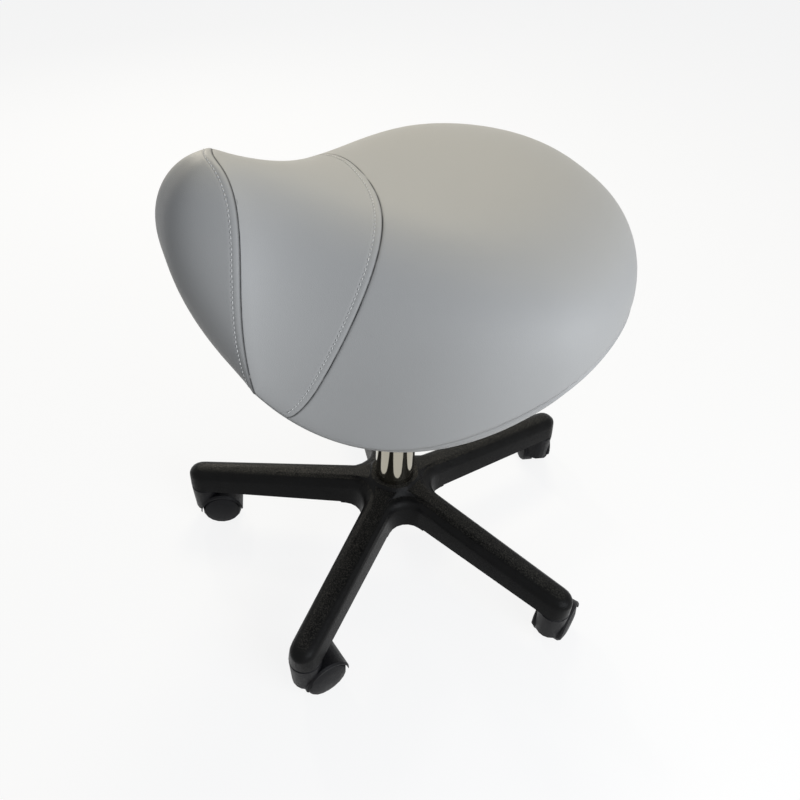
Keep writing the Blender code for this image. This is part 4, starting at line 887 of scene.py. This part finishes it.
# %% The band's section
BAND_COLUMNS = 33
FOOT_WEIGHT = 3.0
BEAD_PROUD = 0.0008
BEAD_AT = 0.0014
BEAD_WIDTH = 0.0010
BEAD_INSIDE = 0.0022
BEAD_TOP = 0.0022
share = (np.linspace(0, 1, BAND_COLUMNS) ** 2)[None, :, None]
weights = (1 - share) ** 2, 2 * FOOT_WEIGHT * share * (1 - share), share**2
corners = seam_line[:, None], foot_line[:, None], hem_line[:, None]
left = sum(weight * corner for weight, corner in zip(weights, corners)) / sum(weights)
down = np.linalg.norm(left - seam_line[:, None], axis=-1)
proud = bead * BEAD_PROUD * np.exp(-(((down - BEAD_AT) / BEAD_WIDTH) ** 2))
top_edge = np.clip(1 - down / BEAD_WIDTH, 0, 1)
proud = proud - bead * BEAD_INSIDE * top_edge
none = np.zeros(BAND_ROWS)
outside = np.column_stack([rim_inset(band_y, none) - rim_inset(band_y, none + 1), none])
left = left + proud[..., None] * outside[:, None]
left[..., 2] += BEAD_TOP * top_edge
band_grid = np.concatenate([left, (left * np.array([-1, 1, 1]))[-2::-1]]) + COLUMN
edge_cover = cover_piece("edge_cover", band_grid, np.zeros(band_grid.shape[:-1]))
upholstered(edge_cover, "edge_band")
print("band", round(length_of(band_grid[:, 0]), 3), "m along the rim")

# %% [markdown]
# ## Stitches
# A row of stitches runs beside two of the seams, where the seam's allowance is sewn down. One stitch is a
# short thread that dips into the vinyl at both ends. It is worked out once, as rings round a small arc, and
# then carried to every place along the row with whole arrays.

# %% How a row of stitches is made
STITCH_PITCH = 0.0044
STITCH_LENGTH = 0.0031
STITCH_RADIUS = 0.00048
STITCH_LIFT = 0.0004
STITCH_SUNK = 0.0004
SUNK_ENDS = 1.5
BLUNT_ENDS = 1.02
STITCH_RINGS = 6
STITCH_SIDES = 6


def evenly(line, pitch):
    """Points along a line at an even pitch, and the unit directions there."""
    steps = np.linalg.norm(np.diff(line, axis=0), axis=1)
    run = np.concatenate([[0], np.cumsum(steps)])
    places = np.arange(pitch, run[-1] - pitch, pitch)
    spots = np.stack([np.interp(places, run, line[:, k]) for k in range(3)], -1)
    ahead = np.stack([np.interp(places + pitch / 4, run, line[:, k]) for k in range(3)], -1) - spots
    return spots, ahead / np.linalg.norm(ahead, axis=1, keepdims=True)


def stitch_faces(count):
    """The faces of that many stitches: squares between the rings, and a cap at each end."""
    firsts = np.arange(count)[:, None, None] * STITCH_RINGS * STITCH_SIDES
    cap = np.arange(STITCH_SIDES)
    caps = np.stack([cap, cap[::-1] + (STITCH_RINGS - 1) * STITCH_SIDES])
    squares = grid_faces(STITCH_RINGS, STITCH_SIDES, wrap=True)
    faces = (squares[None] + firsts).reshape(-1, 4).tolist()
    return faces + (caps[None] + firsts).reshape(-1, STITCH_SIDES).tolist()


def stitch_row(name, line, seam):
    """Stitches along a line beside a seam: rings round a low arc that dips in at both ends."""
    spots, along = evenly(line, STITCH_PITCH)
    nearest = seam[((spots[:, None] - seam[None]) ** 2).sum(-1).argmin(1)]
    out = np.cross(along, nearest - spots)
    out *= -np.sign((out * inwards(spots)).sum(1, keepdims=True))
    out /= np.linalg.norm(out, axis=1, keepdims=True)
    side = np.cross(along, out)
    spots = spots + STITCH_LIFT * out
    run = np.linspace(-1, 1, STITCH_RINGS)[:, None]
    turn = np.linspace(0, 2 * math.pi, STITCH_SIDES, endpoint=False)[None, :]
    thick = STITCH_RADIUS * np.sqrt(BLUNT_ENDS - run**2)
    forth = (run * STITCH_LENGTH / 2 + 0 * turn).ravel()[None, :, None]
    lift = (thick * np.cos(turn) - STITCH_SUNK * run**2 * SUNK_ENDS).ravel()[None, :, None]
    aside = (thick * np.sin(turn)).ravel()[None, :, None]
    points = spots[:, None] + forth * along[:, None] + lift * out[:, None] + aside * side[:, None]
    mesh = bpy.data.meshes.new(name)
    mesh.from_pydata(points.reshape(-1, 3), [], stitch_faces(len(spots)))
    shape = bmesh.new()
    shape.from_mesh(mesh)
    bmesh.ops.recalc_face_normals(shape, faces=shape.faces)
    shape.to_mesh(mesh)
    shape.free()
    shade_smooth(mesh)
    mesh.materials.append(THREAD)
    piece = placed(name, mesh)
    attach(piece, "seat")
    return len(spots)


# %% Two rows of stitches
ROW_ENDS = 0.985
TRY_STEP = 0.002
TRIES = 160


def sunk_row(row):
    """A row moved with the pad and down into its groove."""
    return row + swell_at(row) + GROOVE_DEPTH * inwards(row)


row_angles = math.pi / 2 * np.linspace(-ROW_ENDS, ROW_ENDS, SEAM_SAMPLES)
row_y = seam_y(row_angles)
cross_step = np.linalg.norm(skin(row_y - TRY_STEP, row_angles) - skin(row_y, row_angles), axis=1)
cross_row = bowed(skin(row_y - STITCH_INSET * TRY_STEP / cross_step, row_angles))
arch_points = np.stack(front_arch(row_angles), -1)
arch_way = np.gradient(arch_points, axis=0)
arch_way /= np.linalg.norm(arch_way, axis=1, keepdims=True)
arch_in = np.stack([arch_way[:, 1], -arch_way[:, 0]], -1)
tries = np.linspace(0, STITCH_INSET, TRIES)
inside = arch_points[:, None] + tries[None, :, None] * arch_in[:, None]
tried = bowed(front_panel(inside[..., 0], inside[..., 1]))
reached = np.abs(np.linalg.norm(tried - tried[:, :1], axis=-1) - STITCH_INSET).argmin(1)
front_row = tried[np.arange(SEAM_SAMPLES), reached]
counts = [stitch_row("cross_stitches", sunk_row(cross_row), CROSS_SEAM),
          stitch_row("front_stitches", sunk_row(front_row), FRONT_SEAM)]
print("stitches", counts)

# %% [markdown]
# ## The cloth underneath
# A black cloth closes the underside, with an opening for the seat plate. Seen from the column it is a ring:
# its inner edge is the opening and its outer edge lies over the hem. Its height is the underside's own
# formula, and between its edges it hangs a little lower, as stretched cloth does. The pad above it is
# lifted clear of it.

# %% The cloth's outline
OPENING_MARGIN = 0.005
CLOTH_STARTS = 0.006
CLOTH_FRONT = 0.008
CLOTH_OVERLAP = 0.004
FRONT_STEPS = 39
plate_low, plate_high = (np.array(corner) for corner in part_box("seat_plate"))
opening = (plate_high - plate_low)[:2] / 2 + OPENING_MARGIN
hem_y = rows_from(-SEAT_FRONT + CLOTH_STARTS)
cloth_fade = front_fade(hem_y, BAND_FADE)
cloth_inset = CLOTH_FRONT * (1 - cloth_fade) + (HEM_WIDTH - CLOTH_OVERLAP) * cloth_fade
outline = rim_inset(hem_y, band_draw(hem_y) + cloth_inset)
outline = outline[outline[:, 0] > 0]
front_x = np.linspace(0, outline[0, 0], FRONT_STEPS, endpoint=False)
front_edge = np.column_stack([front_x, np.full(FRONT_STEPS, outline[0, 1])])
outline = np.concatenate([front_edge, outline, [[0, outline[-1, 1]]]])
print("opening", (2 * opening).round(3), "m, outline", len(outline), "points")

# %% The underside cloth
DOWN = np.array([0, 0, -1.0])
CLOTH = 0.0008
CLOTH_TURNS = 180
CLOTH_ROWS = 22
CLOTH_DROP = 0.0030
CLOTH_SAG = 0.0040
SAG_POWER = 4
turn = np.linspace(-math.pi, math.pi, CLOTH_TURNS, endpoint=False)
outer = np.interp(np.abs(turn), np.arctan2(outline[:, 0], -outline[:, 1]), np.linalg.norm(outline, axis=1))
aside = opening[0] / np.maximum(np.abs(np.sin(turn)), NEAR_ZERO)
inner = np.minimum(aside, opening[1] / np.maximum(np.abs(np.cos(turn)), NEAR_ZERO))
cloth_share = np.linspace(0, 1, CLOTH_ROWS)[:, None]
reach = inner + (outer - inner) * cloth_share
cloth_x, cloth_y = reach * np.sin(turn), -reach * np.cos(turn)
cloth_hang = CLOTH_DROP + CLOTH_SAG * (1 - (2 * cloth_share - 1) ** SAG_POWER)
cloth_z = under_z(cloth_x, under_station(cloth_y)) - cloth_hang
cloth_grid = np.stack([cloth_x, cloth_y, cloth_z], -1) + COLUMN
under_cloth = sheet_piece("under_cloth", cloth_grid, DOWN, FINISHES["dust_cloth"], CLOTH, wrap=True)


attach(under_cloth, "seat")
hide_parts("dust_cover")

# %% Lift the pad clear of the cloth
PAD_LIFT = 0.005
pad_points = points_of(seat_pad.data)
pad_plan = pad_points - COLUMN
pad_low = under_z(pad_plan[:, 0], under_station(pad_plan[:, 1])) + PAD_LIFT
print("pad points lifted", int((pad_points[:, 2] < pad_low).sum()))
pad_points[:, 2] = np.maximum(pad_points[:, 2], pad_low)
set_points(seat_pad.data, pad_points)

# %% [markdown]
# ## Floor and light
# The floor is pale and so is the background. For what the camera and mirrors see, the floor is lifted most
# of the way to white, and a soft shadow stays. A broad lamp overhead and behind lights the seat's top
# warmly, and a cooler one from the front keeps its near side from going dark, as a window would. A small
# lamp behind draws highlights.

# %% Floor
FLOOR_SIZE = 8.0
FLOOR_LIFT = 0.86
FLOOR_SEEN = 0.92
FLOOR_BOUNCE = 0.30
WHITE = (1, 1, 1, 1)


def seen_by_camera_or_mirror(tree):
    """1 for rays from the camera, a mirror or glass, and 0 for light that bounces."""
    path = add(tree, "ShaderNodeLightPath").outputs
    either = maths(tree, "MAXIMUM", path["Is Camera Ray"], path["Is Glossy Ray"])
    return maths(tree, "MAXIMUM", either, path["Is Transmission Ray"])


def floor_material():
    """Pale matt floor that shows almost white and keeps the shadow."""
    material = bpy.data.materials.new("pale_floor")
    material.use_nodes = True
    tree = material.node_tree
    tree.nodes.remove(tree.nodes["Principled BSDF"])
    seen = seen_by_camera_or_mirror(tree)
    pale = add(tree, "ShaderNodeMapRange", {"Value": seen, "To Min": FLOOR_BOUNCE, "To Max": FLOOR_SEEN})
    matt = add(tree, "ShaderNodeBsdfDiffuse", {"Color": pale.outputs["Result"]})
    white = add(tree, "ShaderNodeEmission", {"Color": WHITE, "Strength": 1.0})
    share = maths(tree, "MULTIPLY", seen, FLOOR_LIFT)
    mixed = add(tree, "ShaderNodeMixShader", {0: share, 1: matt.outputs[0], 2: white.outputs[0]})
    tree.links.new(mixed.outputs[0], tree.nodes["Material Output"].inputs["Surface"])
    return material


floor_mesh = bpy.data.meshes.new("floor")
corners = np.array([(-1, -1, 0), (1, -1, 0), (1, 1, 0), (-1, 1, 0)]) * FLOOR_SIZE / 2
floor_mesh.from_pydata(corners - np.array([0, 0, CLEARANCE]), [], [(0, 1, 2, 3)])
floor_mesh.materials.append(floor_material())
floor = placed("floor", floor_mesh)
print("floor", FLOOR_SIZE, "m square")

# %% World and lamps
WORLD_LIGHT = 0.26
SKY_TINT = (0.90, 0.97, 1.08, 1)
# Each lamp's name, its place ahead of the camera's view, to its right and up, its size, power and colour.
LAMPS = (
    ("ceiling_lamp", (1.3, 0.0, 2.0), 0.7, 19.0, (1.0, 0.91, 0.68)),
    ("window_lamp", (-0.8, 0.75, 0.7), 0.8, 9.8, (0.90, 0.94, 1.0)),
    ("small_lamp", (1.5, -0.9, 1.1), 0.2, 8.0, (1.0, 0.93, 0.80)),
)


def light_world():
    """Even soft light, white where the camera or a mirror looks at it."""
    world = bpy.data.worlds.new("studio")
    bpy.context.scene.world = world
    world.use_nodes = True
    tree = world.node_tree
    seen = seen_by_camera_or_mirror(tree)
    power = add(tree, "ShaderNodeMapRange", {"Value": seen, "To Min": WORLD_LIGHT, "To Max": 1.0})
    tree.links.new(power.outputs["Result"], tree.nodes["Background"].inputs["Strength"])
    tint = add(tree, "ShaderNodeMix", {"Factor": seen, "A": SKY_TINT, "B": WHITE}, data_type="RGBA")
    tree.links.new(tint.outputs["Result"], tree.nodes["Background"].inputs["Color"])


def lamp(name, place, size, power, color):
    """A square lamp that looks at the seat."""
    data = bpy.data.lights.new(name, "AREA")
    data.size = size
    data.energy = power
    data.color = color
    made = placed(name, data)
    target = COLUMN + np.array([0, 0, BOSS_Z])
    back = (np.array(place) - target) / np.linalg.norm(np.array(place) - target)
    aside = np.cross([0, 0, 1.0], back)
    aside /= np.linalg.norm(aside)
    stand = np.eye(4)
    stand[:3, 0], stand[:3, 1], stand[:3, 2], stand[:3, 3] = aside, np.cross(back, aside), back, place
    made.matrix_world = Matrix(stand.tolist())
    made.visible_camera = False


light_world()
for lamp_name, (far, beside, high), size, power, color in LAMPS:
    lamp(lamp_name, COLUMN + far * ahead + beside * level + np.array([0, 0, high]), size, power, color)
bpy.context.scene.view_settings.view_transform = "Standard"
